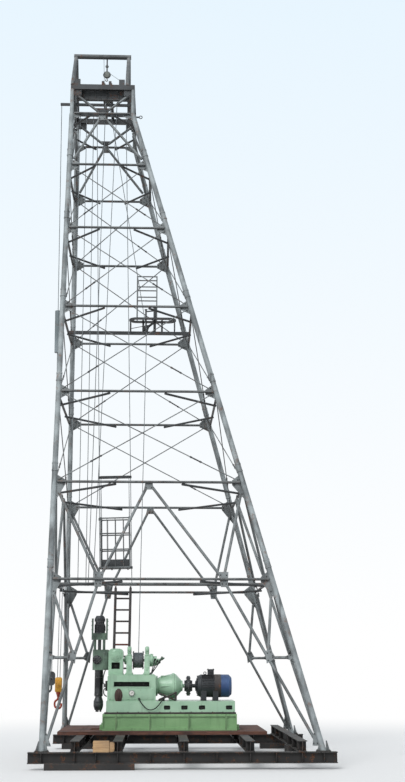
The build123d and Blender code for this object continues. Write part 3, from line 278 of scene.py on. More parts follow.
view = {"place": (-0.53, -28.45, 2.25), "pitch": 13.25, "yaw": 2.12, "focal": 1145.0, "tall": 782, "sensor": 36.0}
bpy.ops.object.camera_add(location=view["place"],
                          rotation=(math.radians(90 + view["pitch"]), 0, math.radians(-view["yaw"])))
camera = bpy.context.object
camera.data.sensor_fit = "AUTO"
camera.data.sensor_width = view["sensor"]
camera.data.lens = view["focal"] * view["sensor"] / view["tall"]
camera.data.clip_end = 500
bpy.context.scene.camera = camera
bpy.context.scene.view_settings.view_transform = "Standard"
print("studio ready")


# modelling helpers
up, front, rear, toLeft, toRight = (0, 0, 1), (0, -1, 0), (0, 1, 0), (-1, 0, 0), (1, 0, 0)
both = (-1, 1)


def fresh():
    if bpy.context.object and bpy.context.object.mode != "OBJECT":
        bpy.ops.object.mode_set(mode="OBJECT")
    bpy.ops.object.select_all(action="DESELECT")


def only(piece):
    fresh()
    piece.select_set(True)
    bpy.context.view_layer.objects.active = piece


def settle(piece):
    only(piece)
    bpy.ops.object.transform_apply(location=True, rotation=True, scale=True)
    return piece


def moved(piece, place):
    piece.matrix_world = place
    return settle(piece)


def spun(spot, turn, axis):
    return Matrix.Translation(spot) @ Matrix.Rotation(turn, 4, axis)


def mirror(near, far, middle=0):   # the same strip on both sides of a middle
    return (middle - far, middle - near), (middle + near, middle + far)


def onEdge(piece, width):
    soft = piece.modifiers.new("soft", "BEVEL")
    soft.width, soft.segments, soft.limit_method = width, 2, "ANGLE"
    only(piece)
    bpy.ops.object.modifier_apply(modifier=soft.name)
    return piece


def plate(low, high, edge=0.004):
    fresh()
    low, high = Vector(low), Vector(high)
    bpy.ops.mesh.primitive_cube_add(size=1, location=(low + high) / 2)
    piece = bpy.context.object
    piece.scale = high - low
    settle(piece)
    return onEdge(piece, edge) if edge else piece


def stood(x, y, halfWide, halfDeep, low, high, edge=0.004):
    return plate((x - halfWide, y - halfDeep, low), (x + halfWide, y + halfDeep, high), edge)


def strips(places, half, depth, low, high, edge, middle=0):
    return [plate((x - half, near, low), (x + half, far, high), edge)
            for x in places for near, far in mirror(*depth, middle)]


def lathe(start, along, stations, sides=24, hollow=False):
    fresh()
    fill = "NOTHING" if hollow else "NGON"
    bpy.ops.mesh.primitive_circle_add(vertices=sides, radius=stations[0][1], fill_type=fill)
    piece = bpy.context.object
    bpy.ops.object.mode_set(mode="EDIT")
    bpy.ops.mesh.select_all(action="SELECT")
    for (near, small), (far, large) in zip(stations, stations[1:]):
        grow = "extrude_edges_move" if hollow else "extrude_region_move"
        getattr(bpy.ops.mesh, grow)(TRANSFORM_OT_translate={"value": (0, 0, far - near)})
        bpy.ops.transform.resize(value=(large / small, large / small, 1))
    if hollow:   # the last ring joins the first
        bpy.ops.mesh.select_all(action="SELECT")
        bpy.ops.mesh.remove_doubles(threshold=1e-5)
    bpy.ops.mesh.select_all(action="SELECT")
    bpy.ops.mesh.normals_make_consistent(inside=False)
    bpy.ops.object.mode_set(mode="OBJECT")
    return moved(piece, facing(start, along) @ Matrix.Translation((0, 0, stations[0][0])))


def rod(start, end, radius, sides=12, tipShare=0.25):
    start, end = Vector(start), Vector(end)
    run = (end - start).length
    tip = min(radius * tipShare, run * 0.2)
    stations = [(0, radius - tip), (tip, radius), (run - tip, radius), (run, radius - tip)]
    return lathe(start, end - start, stations, sides)


def hoop(middle, along, radius, thick, around=28):
    fresh()
    turn = Vector(along).normalized().to_track_quat("Z", "Y").to_euler()
    bpy.ops.mesh.primitive_torus_add(major_radius=radius, minor_radius=thick, major_segments=around,
                                     minor_segments=8, location=middle, rotation=turn)
    return settle(bpy.context.object)


def bentRod(points, radius):
    line = bpy.data.curves.new("bend", "CURVE")
    line.dimensions, line.bevel_depth, line.use_fill_caps = "3D", radius, True
    line.bevel_resolution, line.resolution_u = 3, 6
    run = line.splines.new("NURBS")
    run.points.add(len(points) - 1)
    for knot, spot in zip(run.points, points):
        knot.co = (*spot, 1)
    run.order_u, run.use_endpoint_u = 3, True
    piece = bpy.data.objects.new("bend", line)
    bpy.context.collection.objects.link(piece)
    only(piece)
    bpy.ops.object.convert(target="MESH")
    return bpy.context.object


def scatter(model, places):
    copies = []
    for place in places:
        piece = model.copy()
        piece.data = model.data.copy()
        piece.matrix_world = place
        bpy.context.collection.objects.link(piece)
        copies.append(piece)
    bpy.data.objects.remove(model)
    return joined(copies)


def joined(pieces):
    fresh()
    for piece in pieces:
        piece.select_set(True)
    bpy.context.view_layer.objects.active = pieces[0]
    if len(pieces) > 1:
        bpy.ops.object.join()
    return settle(bpy.context.object)


def finished(pieces, name, slot, finish=None, angle=40, body="tower"):
    piece = joined(made(pieces) if isinstance(pieces, dict) else pieces)
    piece.name = piece.data.name = name
    only(piece)
    bpy.ops.object.shade_smooth_by_angle(angle=math.radians(angle))
    piece.data.materials.clear()
    piece.data.materials.append(finish or finishes[slot])
    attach(piece, body)
    return piece


def facing(spot, along):
    return Matrix.Translation(spot) @ Vector(along).normalized().to_track_quat("Z", "Y").to_matrix().to_4x4()


def bolt(radius, height, sides=6):
    return lathe((0, 0, 0), up, [(0, radius), (height * 0.75, radius), (height, radius * 0.8)], sides)


def boltRow(start, end, count, along, radius=0.014, height=0.012):
    start, end = Vector(start), Vector(end)
    return scatter(bolt(radius, height), [facing(start.lerp(end, i / (count - 1)), along) for i in range(count)])


def boltRing(count, middle, along, radius, head=0.012, height=0.01):
    along = Vector(along).normalized()
    side = along.orthogonal().normalized()
    across = along.cross(side)
    turns = [2 * math.pi * i / count for i in range(count)]
    spots = [Vector(middle) + (side * math.cos(t) + across * math.sin(t)) * radius for t in turns]
    return scatter(bolt(head, height), [facing(spot, along) for spot in spots])


kinds = {"plates": plate, "stands": stood, "lathes": lathe, "rods": rod, "hoops": hoop, "bends": bentRod,
         "boltRows": boltRow, "boltRings": boltRing}


def made(piece):   # every row under the name of a kind is one call of its helper
    return [make(*row) for kind, make in kinds.items() for row in piece.get(kind, ())]


def loosePieces(node):
    fresh()
    copy = bpy.data.objects.new("loose", bpy.data.objects[node].data.copy())
    bpy.context.collection.objects.link(copy)
    only(copy)
    bpy.ops.object.mode_set(mode="EDIT")
    bpy.ops.mesh.select_all(action="SELECT")
    bpy.ops.mesh.remove_doubles(threshold=1e-5)
    bpy.ops.mesh.separate(type="LOOSE")
    bpy.ops.object.mode_set(mode="OBJECT")
    found = []
    for piece in list(bpy.context.selected_objects):
        wide = max(piece.data.polygons, key=lambda p: p.area)
        found.append(([v.co.copy() for v in piece.data.vertices], wide.normal.copy()))
        bpy.data.objects.remove(piece)
    return found


# tower joints: bolts on the gussets, turnbuckles on the tie rods, sleeves on the legs
joint = {"head": 0.016, "height": 0.013, "reach": 0.58, "halfPlate": 0.0062}
places = []
for node in ("gusset_plates", "crown_gussets"):
    for spots, normal in loosePieces(node):
        middle = sum(spots, Vector()) / len(spots)
        for spot in spots:
            out = normal if (spot - middle).dot(normal) > 0 else -normal
            flat = spot - out * (spot - middle).dot(out)
            places.append(facing(middle + (flat - middle) * joint["reach"] + out * joint["halfPlate"], out))
finished([scatter(bolt(joint["head"], joint["height"]), places)], "gussetBolts", "dark_steel")

turnbuckle = {
    "share": 0.24, "endSpots": 6, "sides": 6,
    "profile": [(-0.15, 0.013), (-0.15, 0.022), (-0.105, 0.022), (-0.1, 0.017),
                (0.1, 0.017), (0.105, 0.022), (0.15, 0.022), (0.15, 0.013)]}
places = []
for spots, normal in loosePieces("tie_rods"):
    spots.sort(key=lambda v: v.z)
    count = turnbuckle["endSpots"]
    low, high = sum(spots[:count], Vector()) / count, sum(spots[-count:], Vector()) / count
    places.append(facing(low + (high - low) * turnbuckle["share"], high - low))
buckle = lathe((0, 0, 0), up, turnbuckle["profile"], turnbuckle["sides"])
finished([scatter(buckle, places)], "turnbuckles", "dark_steel")

sleeve = {
    "levels": (4.02, 6.25, 8.46, 10.65, 12.79, 14.59), "rise": 0.36, "legFoot": 0.36, "legTop": 16.11,
    "base": 3, "topLeft": -2.92, "topRight": -1.33, "topHalf": 0.98,
    "profile": [(-0.11, 0.0645), (-0.105, 0.0735), (-0.07, 0.0735), (-0.065, 0.0685),
                (0.065, 0.0685), (0.07, 0.0735), (0.105, 0.0735), (0.11, 0.0645)]}
places = []
for sideX in both:
    for sideY in both:
        low = Vector((sideX * sleeve["base"], sideY * sleeve["base"], sleeve["legFoot"]))
        topX = sleeve["topLeft"] if sideX < 0 else sleeve["topRight"]
        high = Vector((topX, sideY * sleeve["topHalf"], sleeve["legTop"]))
        for level in sleeve["levels"]:
            share = (level + sleeve["rise"] - low.z) / (high.z - low.z)
            places.append(facing(low + (high - low) * share, high - low))
finished([scatter(lathe((0, 0, 0), up, sleeve["profile"]), places)], "legSleeves", "tower_paint", legGrey)
print("tower joints done")

# drilling machine: base and skid
keeper = {"plates": [((-1.8, near, 1.031), (1.29, far, 1.072), 0.006) for near, far in mirror(0.545, 0.596)],
          "boltRows": [((-1.74, y, 1.072), (1.23, y, 1.072), 13, up) for y in (-0.5705, 0.5705)]}
finished(keeper, "skidKeepers", "dark_steel", finishes["ladder_steel"])

lug = {
    "rows": (-0.46, 0.34), "ends": ((-1.91, -1.84, -1.88), (1.31, 1.38, 1.35)), "foot": 0.662, "flange": 0.687,
    "top": 0.79, "wide": 0.12, "web": (0.05, 0.07), "webShort": 0.01, "boltAt": (0.02, 0.1), "head": 0.016,
    "edge": 0.005}
parts = []
for y in lug["rows"]:
    for near, far, boltX in lug["ends"]:
        parts.append(plate((near, y, lug["foot"]), (far, y + lug["wide"], lug["flange"]), lug["edge"]))
        low, high = (y + part for part in lug["web"])
        parts.append(plate((near, low, lug["flange"]), (far - lug["webShort"], high, lug["top"]), lug["edge"]))
        parts.append(boltRow(*((boltX, y + part, lug["flange"]) for part in lug["boltAt"]), 2, up, lug["head"]))
finished(parts, "baseLugs", "base_green")

seam = {"places": (-1.52, -0.727, 0.185, 1.052), "half": 0.006, "depth": (0.57, 0.6025), "low": 0.668, "high": 1.022,
        "edge": 0.0015}
finished(strips(**seam), "baseSeams", "base_green", finishes["ladder_steel"])
# near-black plates behind the skid slots: painted shade
slotBack = {"places": (-0.33, 0.079, 0.491, 1.131), "half": 0.073, "depth": (0.47, 0.49), "low": 1.13, "high": 1.22,
            "edge": 0.02}
finished(strips(**slotBack), "skidSlotBacks", "dark_steel", recessBlack)

# gearbox: covers, recess, hatch, gauge, levers and pipe
cover = {
    "left": -1.7, "right": -0.64, "low": 1.35, "high": 1.615, "depth": (0.5, 0.516), "edge": 0.006, "bolts": 8,
    "margin": 0.03, "plates": [((-1.705, -0.47, 1.908), (-0.635, 0.47, 1.926), 0.006)],
    "boltRows": [((-0.69, -0.43, 1.926), (-0.69, 0.43, 1.926), 6, up)]}
recess = {
    "left": -1.59, "right": -0.75, "low": 1.65, "high": 1.76, "lip": 0.028, "lipEdge": 0.005,
    "depth": (0.378, 0.384), "clear": 0.003, "backEdge": 0.001, "studs": (-1.45, -1.17, -0.89),
    "stud": [(0, 0.03), (0.06, 0.03), (0.065, 0.022), (0.09, 0.022)]}
left, right, low, high, lip, clear = (recess[key] for key in ("left", "right", "low", "high", "lip", "clear"))
margin = cover["margin"]
parts, dark = made(cover), []
for near, far in mirror(*cover["depth"]):
    parts.append(plate((cover["left"], near, cover["low"]), (cover["right"], far, cover["high"]), cover["edge"]))
    for x0, x1, z0, z1 in ((left - lip, right + lip, high, high + lip), (left - lip, right + lip, low - lip, low),
                           (left - lip, left, low, high), (right, right + lip, low, high)):
        parts.append(plate((x0, near, z0), (x1, far, z1), recess["lipEdge"]))
for side in both:
    face, inner = side * cover["depth"][1], side * recess["depth"][1]
    for z in (cover["low"] + margin, cover["high"] - margin):
        ends = (cover["left"] + margin, face, z), (cover["right"] - margin, face, z)
        parts.append(boltRow(*ends, cover["bolts"], (0, side, 0)))
    dark += [lathe((x, inner, (low + high) / 2), (0, side, 0), recess["stud"], 12) for x in recess["studs"]]
# the studs above and this back plate are near-black: painted shade in the recess
for near, far in mirror(*recess["depth"]):
    dark.append(plate((left + clear, near, low + clear), (right - clear, far, high - clear), recess["backEdge"]))
finished(parts, "gearboxCovers", "machine_green")
finished(dark, "gearboxRecess", "dark_steel", recessBlack)

hatch = {
    "spot": (-1.475, -0.516, 1.445), "half": (0.095, 0.165), "steps": ((1, 0.012), (0.8, 0.03)),
    "bends": [([(-1.475, y, z) for y, z in
                ((-0.545, 1.53), (-0.59, 1.52), (-0.6, 1.445), (-0.59, 1.37), (-0.545, 1.36))], 0.011)]}
parts = []
for share, step in hatch["steps"]:
    disc = lathe((0, 0, 0), up, [(0, 1), (step * 0.7, 1), (step, 0.9)])
    oval = Matrix.Diagonal((*(half * share for half in hatch["half"]), 1, 1))
    parts.append(moved(disc, facing(hatch["spot"], front) @ oval))
finished(parts + made(hatch), "handHatch", "ladder_steel", hatchBrown)

gaugeBody = {
    "lathes": [((-1.163, -0.516, 1.505), front,
                [(0, 0.0528), (0.025, 0.0528), (0.03, 0.066), (0.045, 0.066), (0.05, 0.0594), (0.042, 0.05676)], 28)]}
gaugeDial = {"lathes": [((-1.163, -0.554, 1.505), front, [(0, 0.0561), (0.007, 0.0561)], 28)]}
gaugeNeedle = {"rods": [((-1.175, -0.563, 1.495), (-1.129, -0.563, 1.533), 0.0022, 6)],
               "lathes": [((-1.163, -0.563, 1.505), front, [(0, 0.007), (0.004, 0.006)], 10)]}
finished(gaugeBody, "gaugeBody", "worn_steel")
finished(gaugeDial, "gaugeDial", "machine_green", dialWhite)
finished(gaugeNeedle, "gaugeNeedle", "worn_steel", recessBlack)

levers = {
    "x": -0.72, "rows": (-0.36, -0.24, -0.12), "floor": 1.92, "lean": (0.09, -0.06, 0.33),
    "fan": (0.05, 0, -0.03), "rod": 0.011, "boot": [(0, 0.04), (0.02, 0.04), (0.05, 0.02)],
    "knob": [(-0.01, 0.012), (0, 0.02), (0.015, 0.026), (0.035, 0.026), (0.05, 0.018), (0.055, 0.008)]}
parts, knobs = [], []
for index, y in enumerate(levers["rows"]):
    foot = Vector((levers["x"], y, levers["floor"]))
    head = foot + Vector(levers["lean"]) + Vector(levers["fan"]) * index
    parts += [rod(foot, head, levers["rod"], 10), lathe(foot, up, levers["boot"], 16)]
    knobs.append(lathe(head, head - foot, levers["knob"], 16))
finished(parts, "gearLevers", "worn_steel")
finished(knobs, "leverKnobs", "worn_steel", recessBlack)

pipe = {
    "bends": [([(-0.99, -0.515, 1.371), (-0.99, -0.575, 1.37), (-0.93, -0.6, 1.27), (-0.82, -0.605, 1.15),
                (-0.7, -0.605, 1.115), (-0.58, -0.605, 1.17), (-0.48, -0.605, 1.29), (-0.43, -0.57, 1.375),
                (-0.42, -0.475, 1.37)], 0.012)],
    "plates": [((-0.455, -0.475, 1.321), (-0.385, -0.41, 1.405), 0.008)],
    "lathes": [(spot, front, [(0, 0.026), (0.022, 0.026), (0.026, 0.02), (0.042, 0.018), (0.044, 0.014)], 6)
               for spot in ((-0.99, -0.514, 1.371), (-0.42, -0.474, 1.37))]}
finished(pipe, "oilPipe", "worn_steel", recessBlack, 60)
print("gearbox done")

# hoist: bearings, rope, flange bolts and brake levers
hoist = {"height": 2.26, "middle": -1.03, "turns": 10, "pitch": 0.0192, "wrap": 0.1742, "rope": 0.009,
         "flanges": ((-1.155, toLeft), (-0.905, toRight))}


def onHoist(x):
    return (x, 0, hoist["height"])


bearing = {
    "lathes": [(onHoist(-1.309), toLeft,
                [(0, 0.1), (0.03, 0.1), (0.036, 0.085), (0.055, 0.08), (0.06, 0.04), (0.075, 0.036)], 28)],
    "boltRings": [(6, onHoist(-1.342), toLeft, 0.088), (8, onHoist(-0.6795), toRight, 0.125, 0.011)],
    "plates": [((left, -0.31, 1.924), (right, 0.31, 1.955), 0.006)
               for left, right in ((-1.335, -1.153), (-0.907, -0.725))],
    "boltRows": [((left, y, 1.955), (right, y, 1.955), 2, up, 0.018, 0.016)
                 for left, right in ((-1.305, -1.183), (-0.877, -0.755)) for y in (-0.285, 0.285)]}
overBearing = {   # cap, lug, ribs and grease cup over the middle of one bearing
    "middles": (-1.244, -0.816),
    "blocks": ((0, 0.06, 0.15, 2.362, 2.4, 0.01), (0, 0.05, 0.075, 2.395, 2.585, 0.035),
               (-0.2, 0.03, 0.035, 1.955, 2.12, 0.012), (0.2, 0.03, 0.035, 1.955, 2.12, 0.012)),
    "capBolts": ((-0.12, 2.4), (0.12, 2.4)), "capHead": (0.018, 0.02), "cupSpot": (-0.075, 2.5),
    "cup": [(0, 0.036), (0.012, 0.036), (0.018, 0.024), (0.03, 0.022)]}
parts = made(bearing)
for x in overBearing["middles"]:
    parts += [stood(x, *row) for row in overBearing["blocks"]]
    parts.append(boltRow(*((x, *spot) for spot in overBearing["capBolts"]), 2, up, *overBearing["capHead"]))
    parts.append(lathe((x, *overBearing["cupSpot"]), front, overBearing["cup"], 14))
finished(parts, "hoistBearings", "machine_green")

firstTurn = hoist["middle"] - (hoist["turns"] - 1) / 2 * hoist["pitch"]
parts = [hoop(onHoist(firstTurn + i * hoist["pitch"]), toRight, hoist["wrap"], hoist["rope"], 40)
         for i in range(hoist["turns"])]
finished(parts, "drumRope", "wire_rope", None, 80, body="hoist_drum")
drumBolts = {"boltRings": [(count, onHoist(x), way, ring, head, 0.009) for x, way in hoist["flanges"]
                           for count, ring, head in ((10, 0.19, 0.011), (6, 0.09, 0.016))]}
finished(drumBolts, "drumBolts", "worn_steel", body="hoist_drum")

brake = {
    "bends": [([(-0.66, -0.1, 2.2), (-0.66, -0.2, 2.16), (-0.62, -0.34, 2.14), (-0.52, -0.46, 2.21),
                (-0.45, -0.5, 2.34)], 0.022),
              ([(-0.56, 0, 2.26), (-0.5, -0.02, 2.26), (-0.45, -0.1, 2.28), (-0.41, -0.16, 2.31)], 0.02)],
    "lathes": [((-0.66, -0.09, 2.2), toRight, [(-0.03, 0.03), (-0.02, 0.04), (0.02, 0.04), (0.03, 0.03)], 16)]}
finished(brake, "brakeLevers", "machine_green", darkMachineGreen)

housing = {
    "lathes": [((-1.5625, side * 0.3, 2.37), (0, side, 0),
                [(0, 0.135), (0.018, 0.135), (0.024, 0.12555), (0.03, 0.0891), (0.05, 0.081), (0.056, 0.0405),
                 (0.075, 0.0351)], 32) for side in both],
    "boltRings": [(8, (-1.5625, side * 0.32, 2.37), (0, side, 0), 0.108) for side in both],
    "plates": [((-1.735, -0.33, 1.924), (-1.38, 0.33, 1.95), 0.006)],
    "boltRows": [((-1.7, -0.315, 1.95), (-1.42, -0.315, 1.95), 4, up)]}
finished(housing, "housingCovers", "machine_green")
# near-black pocket plates on the housing: painted shade
pocket = {"plates": [((-1.658, near, 2.06), (-1.467, far, 2.205), 0.001) for near, far in mirror(0.152, 0.162)],
          "lathes": [((-1.5625, -0.16, 2.13), front, [(0, 0.05), (0.03, 0.05), (0.035, 0.03), (0.08, 0.03)], 20)]}
finished(pocket, "housingPocket", "dark_steel", recessBlack)

# spindle head, feed and chucks
headCover = {
    "lathes": [((-2.015, -0.17, 2.27), front,
                [(0, 0.105), (0.03, 0.105), (0.038, 0.0945), (0.044, 0.063), (0.07, 0.05775), (0.075, 0.0315)], 32)],
    "boltRings": [(8, (-2.015, -0.206, 2.27), front, 0.0819, 0.01)]}
finished(headCover, "headCover", "worn_steel")
headTrim = {
    "plates": [((-1.88, -0.2, 2.05), (-1.76, -0.168, 2.44), 0.012)]
    + [((-2.1, near, 2.498), (-1.76, far, 2.507), 0.003) for near, far in mirror(0.06, 0.15)],
    "boltRows": [((-1.82, -0.2, 2.09), (-1.82, -0.2, 2.4), 4, front)],
    "lathes": [((x, 0, 2.4995), up,   # glands where the feed rods enter
                [(0.011, 0.038), (0.011, 0.05), (0, 0.055), (0, 0.038), (0.011, 0.038)], 20, True)
               for x in (-2.08, -1.86)]}
finished(headTrim, "headTrim", "machine_green", darkMachineGreen)
valve = {
    "plates": [((-1.8, -0.3, 1.55), (-1.742, -0.12, 1.78), 0.008)],
    "bends": [([(-1.8, -0.21, 1.7), (-1.85, -0.21, 1.7), (-1.86, -0.21, 1.78), (-1.85, -0.2, 1.92),
                (-1.81, -0.18, 2.03)], 0.013),
              ([(-1.8, -0.27, 1.6), (-1.83, -0.28, 1.6), (-1.84, -0.28, 1.52), (-1.82, -0.27, 1.45),
                (-1.76, -0.26, 1.42)], 0.013)],
    "lathes": [((-1.8, -0.17, 1.66), toLeft, [(0, 0.02), (0.03, 0.02), (0.032, 0.045), (0.045, 0.045)], 16)]}
finished(valve, "feedValve", "worn_steel", recessBlack)

chuck = {
    "axis": (-1.97, 0), "perRound": 3,
    "jaws": (((0.11, -0.03, 2.95), (0.138, 0.03, 3.06)), ((0.03, -0.03, 1.06), (0.075, 0.03, 1.105)),
             ((0.03, -0.025, 3.295), (0.07, 0.025, 3.308))),
    "boltRings": [(9, (-1.97, 0, 3.22), up, 0.112, 0.009, 0.02)],
    "hoops": [((-1.97, 0, z), up, radius, thick)
              for z, radius, thick in ((1.86, 0.1, 0.006), (1.47, 0.1, 0.008), (1.245, 0.115, 0.004))]}
parts = made(chuck)
for i in range(chuck["perRound"]):
    turn = spun((*chuck["axis"], 0), 2 * math.pi * i / chuck["perRound"], "Z")
    parts += [moved(plate(*jaw), turn) for jaw in chuck["jaws"]]
finished(parts, "chuckJaws", "worn_steel", body="spindle")
crosshead = {
    "plates": [((left, -0.08, 3.228), (right, 0.08, 3.245), 0.005)
               for left, right in ((-2.166, -2.12), (-1.82, -1.774))],
    "boltRows": [((-2.1, -0.083, 2.82), (-1.84, -0.083, 2.82), 4, front)]
    + [((x, 0, 2.98), (x, 0, 3.18), 3, way) for x, way in ((-2.162, toLeft), (-1.778, toRight))]}
finished(crosshead, "crossheadTrim", "machine_green", darkMachineGreen, body="feed_crosshead")
print("hoist and spindle done")

# drive: coupling, transfer case and motor on one shaft line
shaftHeight = 1.66


def onShaft(x):
    return (x, 0, shaftHeight)


coupling = {"boltRings": [(8, onShaft(x), way, 0.18, 0.016, 0.018) for x, way in ((0.142, toLeft), (0.218, toRight))],
            "hoops": [(onShaft(0.18), toRight, 0.228, 0.008)]}
finished(coupling, "couplingPins", "worn_steel", body="coupling")
case = {
    "lathes": [(onShaft(-0.598), toRight,
                [(0, 0.235), (0.03, 0.235), (0.036, 0.225), (0.036, 0.187), (0, 0.187)], 36, True),
               (onShaft(-0.21), toRight, [(0, 0.284), (0.004, 0.3), (0.05, 0.3), (0.056, 0.27)], 36),
               (onShaft(0.018), toRight,
                [(-0.01, 0.12), (0, 0.125), (0.02, 0.125), (0.026, 0.1), (0.03, 0.06)], 28)],
    "boltRings": [(10, onShaft(-0.566), toRight, 0.212), (12, onShaft(-0.155), toRight, 0.288, 0.011, 0.008)],
    "ribs": 6, "ribStart": -0.48, "rib": ((0, -0.009, 0.2), (0.27, 0.009, 0.272))}
parts = made(case)
for i in range(case["ribs"]):
    turn = 2 * math.pi * (i + 0.5) / case["ribs"]
    parts.append(moved(plate(*case["rib"]), spun(onShaft(case["ribStart"]), turn, "X")))
finished(parts, "caseRibs", "machine_green")
stay = {"rods": [((x, y, low), (-0.12, y, high), radius, 8) for y in (-0.26, 0.26) for x, low, high, radius in
                 ((-0.53, 1.325, 1.51, 0.02), (-0.53, 1.5, 1.325, 0.02), (-0.12, 1.325, 1.53, 0.022))]}
finished(stay, "caseStays", "ladder_steel")

motor = {
    "fins": 42, "clearTop": 22, "lowest": 98, "fin": ((0.505, -0.0035, 0.262), (0.8, 0.0035, 0.286), 0.0015),
    "hoops": [(onShaft(0.485), toRight, 0.264, 0.009, 40), ((0.58, 0, 1.955), front, 0.03, 0.009, 20)],
    "boltRings": [(8, onShaft(0.403), toLeft, 0.225, 0.012, 0.018)],
    "plates": [((0.635, -0.085, 2.03), (0.805, 0.085, 2.05), 0.006)],
    "boltRows": [((0.655, y, 2.05), (0.785, y, 2.05), 2, up, 0.009) for y in (-0.065, 0.065)],
    "lathes": [(onShaft(0.372), toLeft, [(0, 0.12), (0.02, 0.12), (0.028, 0.1), (0.028, 0.05)], 28),
               ((0.72, -0.075, 1.99), front, [(0, 0.028), (0.025, 0.028), (0.03, 0.02), (0.06, 0.02)], 14),
               ((0.58, 0, 1.92), up, [(0, 0.022), (0.01, 0.022), (0.015, 0.012)], 12)]
    + [((x, y, 1.32), up, [(0, 0.04), (0.03, 0.04), (0.032, 0.02), (0.05, 0.02), (0.055, 0.014)], 6)
       for x in (0.545, 0.83) for y in (-0.222, 0.222)]}
parts = made(motor)
for i in range(motor["fins"]):
    turn = 360 * i / motor["fins"]
    fromTop = abs((turn + 180) % 360 - 180)
    if motor["clearTop"] < fromTop < motor["lowest"]:
        parts.append(moved(plate(*motor["fin"]), spun(onShaft(0), math.radians(turn), "X")))
finished(parts, "motorFins", "motor_charcoal")
# dark brown ring over the motor's right end, where a band of shadow falls: painted shade, tinted like rust
band = {"lathes": [(onShaft(0.806), toRight, [(0, 0.262), (0.003, 0.269), (0.145, 0.269), (0.15, 0.262)], 48)]}
finished(band, "motorBand", "motor_charcoal", finishes["ladder_steel"])
grille = {
    "hoops": [(onShaft(0.968), toRight, 0.264, 0.008, 40)]
    + [(onShaft(1.209), toRight, radius, 0.007, 32) for radius in (0.05, 0.09, 0.13, 0.17, 0.2)],
    "spokes": 4, "spoke": ((1.203, -0.008, -0.2), (1.213, 0.008, 0.2), 0.002)}
parts = made(grille)
for i in range(grille["spokes"]):
    parts.append(moved(plate(*grille["spoke"]), spun(onShaft(0), math.pi * i / grille["spokes"], "X")))
finished(parts, "cowlGrille", "cowl_blue")
print("drive done")


# ground frame: stiffeners, bolts, shoe ribs, spikes and packing
def wedge(low, high, side, cut):   # a plate with its outer top edge drawn in
    piece = plate(low, high, 0)
    middle, run = (low[0] + high[0]) / 2, high[0] - low[0]
    for spot in piece.data.vertices:
        if spot.co.z > (low[2] + high[2]) / 2 and (spot.co.x - middle) * side > 0:
            spot.co.x -= side * run * cut
    return onEdge(piece, 0.002)


ground = {
    "beams": (-3, 3), "rows": (-2.3, -1.39, 0.02, 1.43, 2.54),
    "between": (-3, -1.85, -0.7, 0.72, 1.98, 3), "low": 0.146, "high": 0.344, "half": 0.006,
    "depth": (0.006, 0.092), "edge": 0.002, "crossLow": 0.376, "crossHigh": 0.574,
    "crossStations": (-2.96, -1.9, -0.95, 0.95, 1.9, 2.96)}
parts, half = [], ground["half"]
for beam in ground["beams"]:
    parts += strips(ground["rows"] + ground["between"], half, ground["depth"], ground["low"], ground["high"],
                    ground["edge"], beam)
for x in ground["rows"]:
    for y in ground["crossStations"]:
        parts += [plate((near, y - half, ground["crossLow"]), (far, y + half, ground["crossHigh"]), ground["edge"])
                  for near, far in mirror(*ground["depth"], x)]
finished(parts, "beamStiffeners", "base_steel")

groundBolt = {"head": 0.02, "height": 0.018, "shoeTop": 0.385, "crossX": (-0.06, 0.06), "crossY": (-0.06, 0.075),
              "shoeX": (-0.12, 0.12), "shoeY": (-0.075, 0.075)}
places = [facing((x + dx, y + dy, top), up) for rows, offX, offY, top in
          ((ground["rows"], groundBolt["crossX"], groundBolt["crossY"], ground["crossLow"]),
           (ground["beams"], groundBolt["shoeX"], groundBolt["shoeY"], groundBolt["shoeTop"]))
          for x in rows for y in ground["beams"] for dx in offX for dy in offY]
finished([scatter(bolt(groundBolt["head"], groundBolt["height"]), places)], "groundBolts", "base_steel")

shoe = {"depth": (0.05, 0.135), "foot": 0.386, "top": 0.586, "half": 0.007, "cut": 0.7}
parts = [wedge((near, y - shoe["half"], shoe["foot"]), (far, y + shoe["half"], shoe["top"]), side, shoe["cut"])
         for x in ground["beams"] for y in ground["beams"]
         for side, (near, far) in zip(both, mirror(*shoe["depth"], x))]
finished(parts, "shoeRibs", "tower_paint")

spike = {"head": 0.011, "height": 0.006, "sides": 8, "deck": 0.66, "margin": 0.03, "at": ((-0.03, 0.22), (0.03, 0.78))}
places = []
for spots, normal in loosePieces("deck_planks"):
    left, right = min(v.x for v in spots) + spike["margin"], max(v.x for v in spots) - spike["margin"]
    near, far = min(v.y for v in spots), max(v.y for v in spots)
    places += [facing((x + off, near + (far - near) * share, spike["deck"]), up)
               for x in ground["rows"] if left < x < right for off, share in spike["at"]]
finished([scatter(bolt(spike["head"], spike["height"], spike["sides"]), places)], "deckSpikes", "base_steel")
packing = {"plates": [((-1.566, -3.075, 0.361), (-1.455, -2.935, 0.565), 0.012),
                      ((-1.925, -3.094, 0.45), (-1.56, -3.085, 0.462), 0.002)]}
finished(packing, "packingOffcuts", "packing_timber")
print("ground frame done")

# work basket, which leans a little: toe boards, floor bars, uprights and clips
basket = {"foot": (-1.625, 0.4, 4.48), "run": (-0.0265, 0, 0.99965), "wide": 0.335, "deep": 0.2125, "low": 0.042,
          "toeTop": 0.212, "thick": 0.012}
lean = Vector(up).rotation_difference(Vector(basket["run"])).to_matrix().to_4x4()
wide, deep, low, toeTop, thick = (basket[key] for key in ("wide", "deep", "low", "toeTop", "thick"))


def inBasket(piece):
    return [moved(part, Matrix.Translation(basket["foot"]) @ lean) for part in made(piece)]


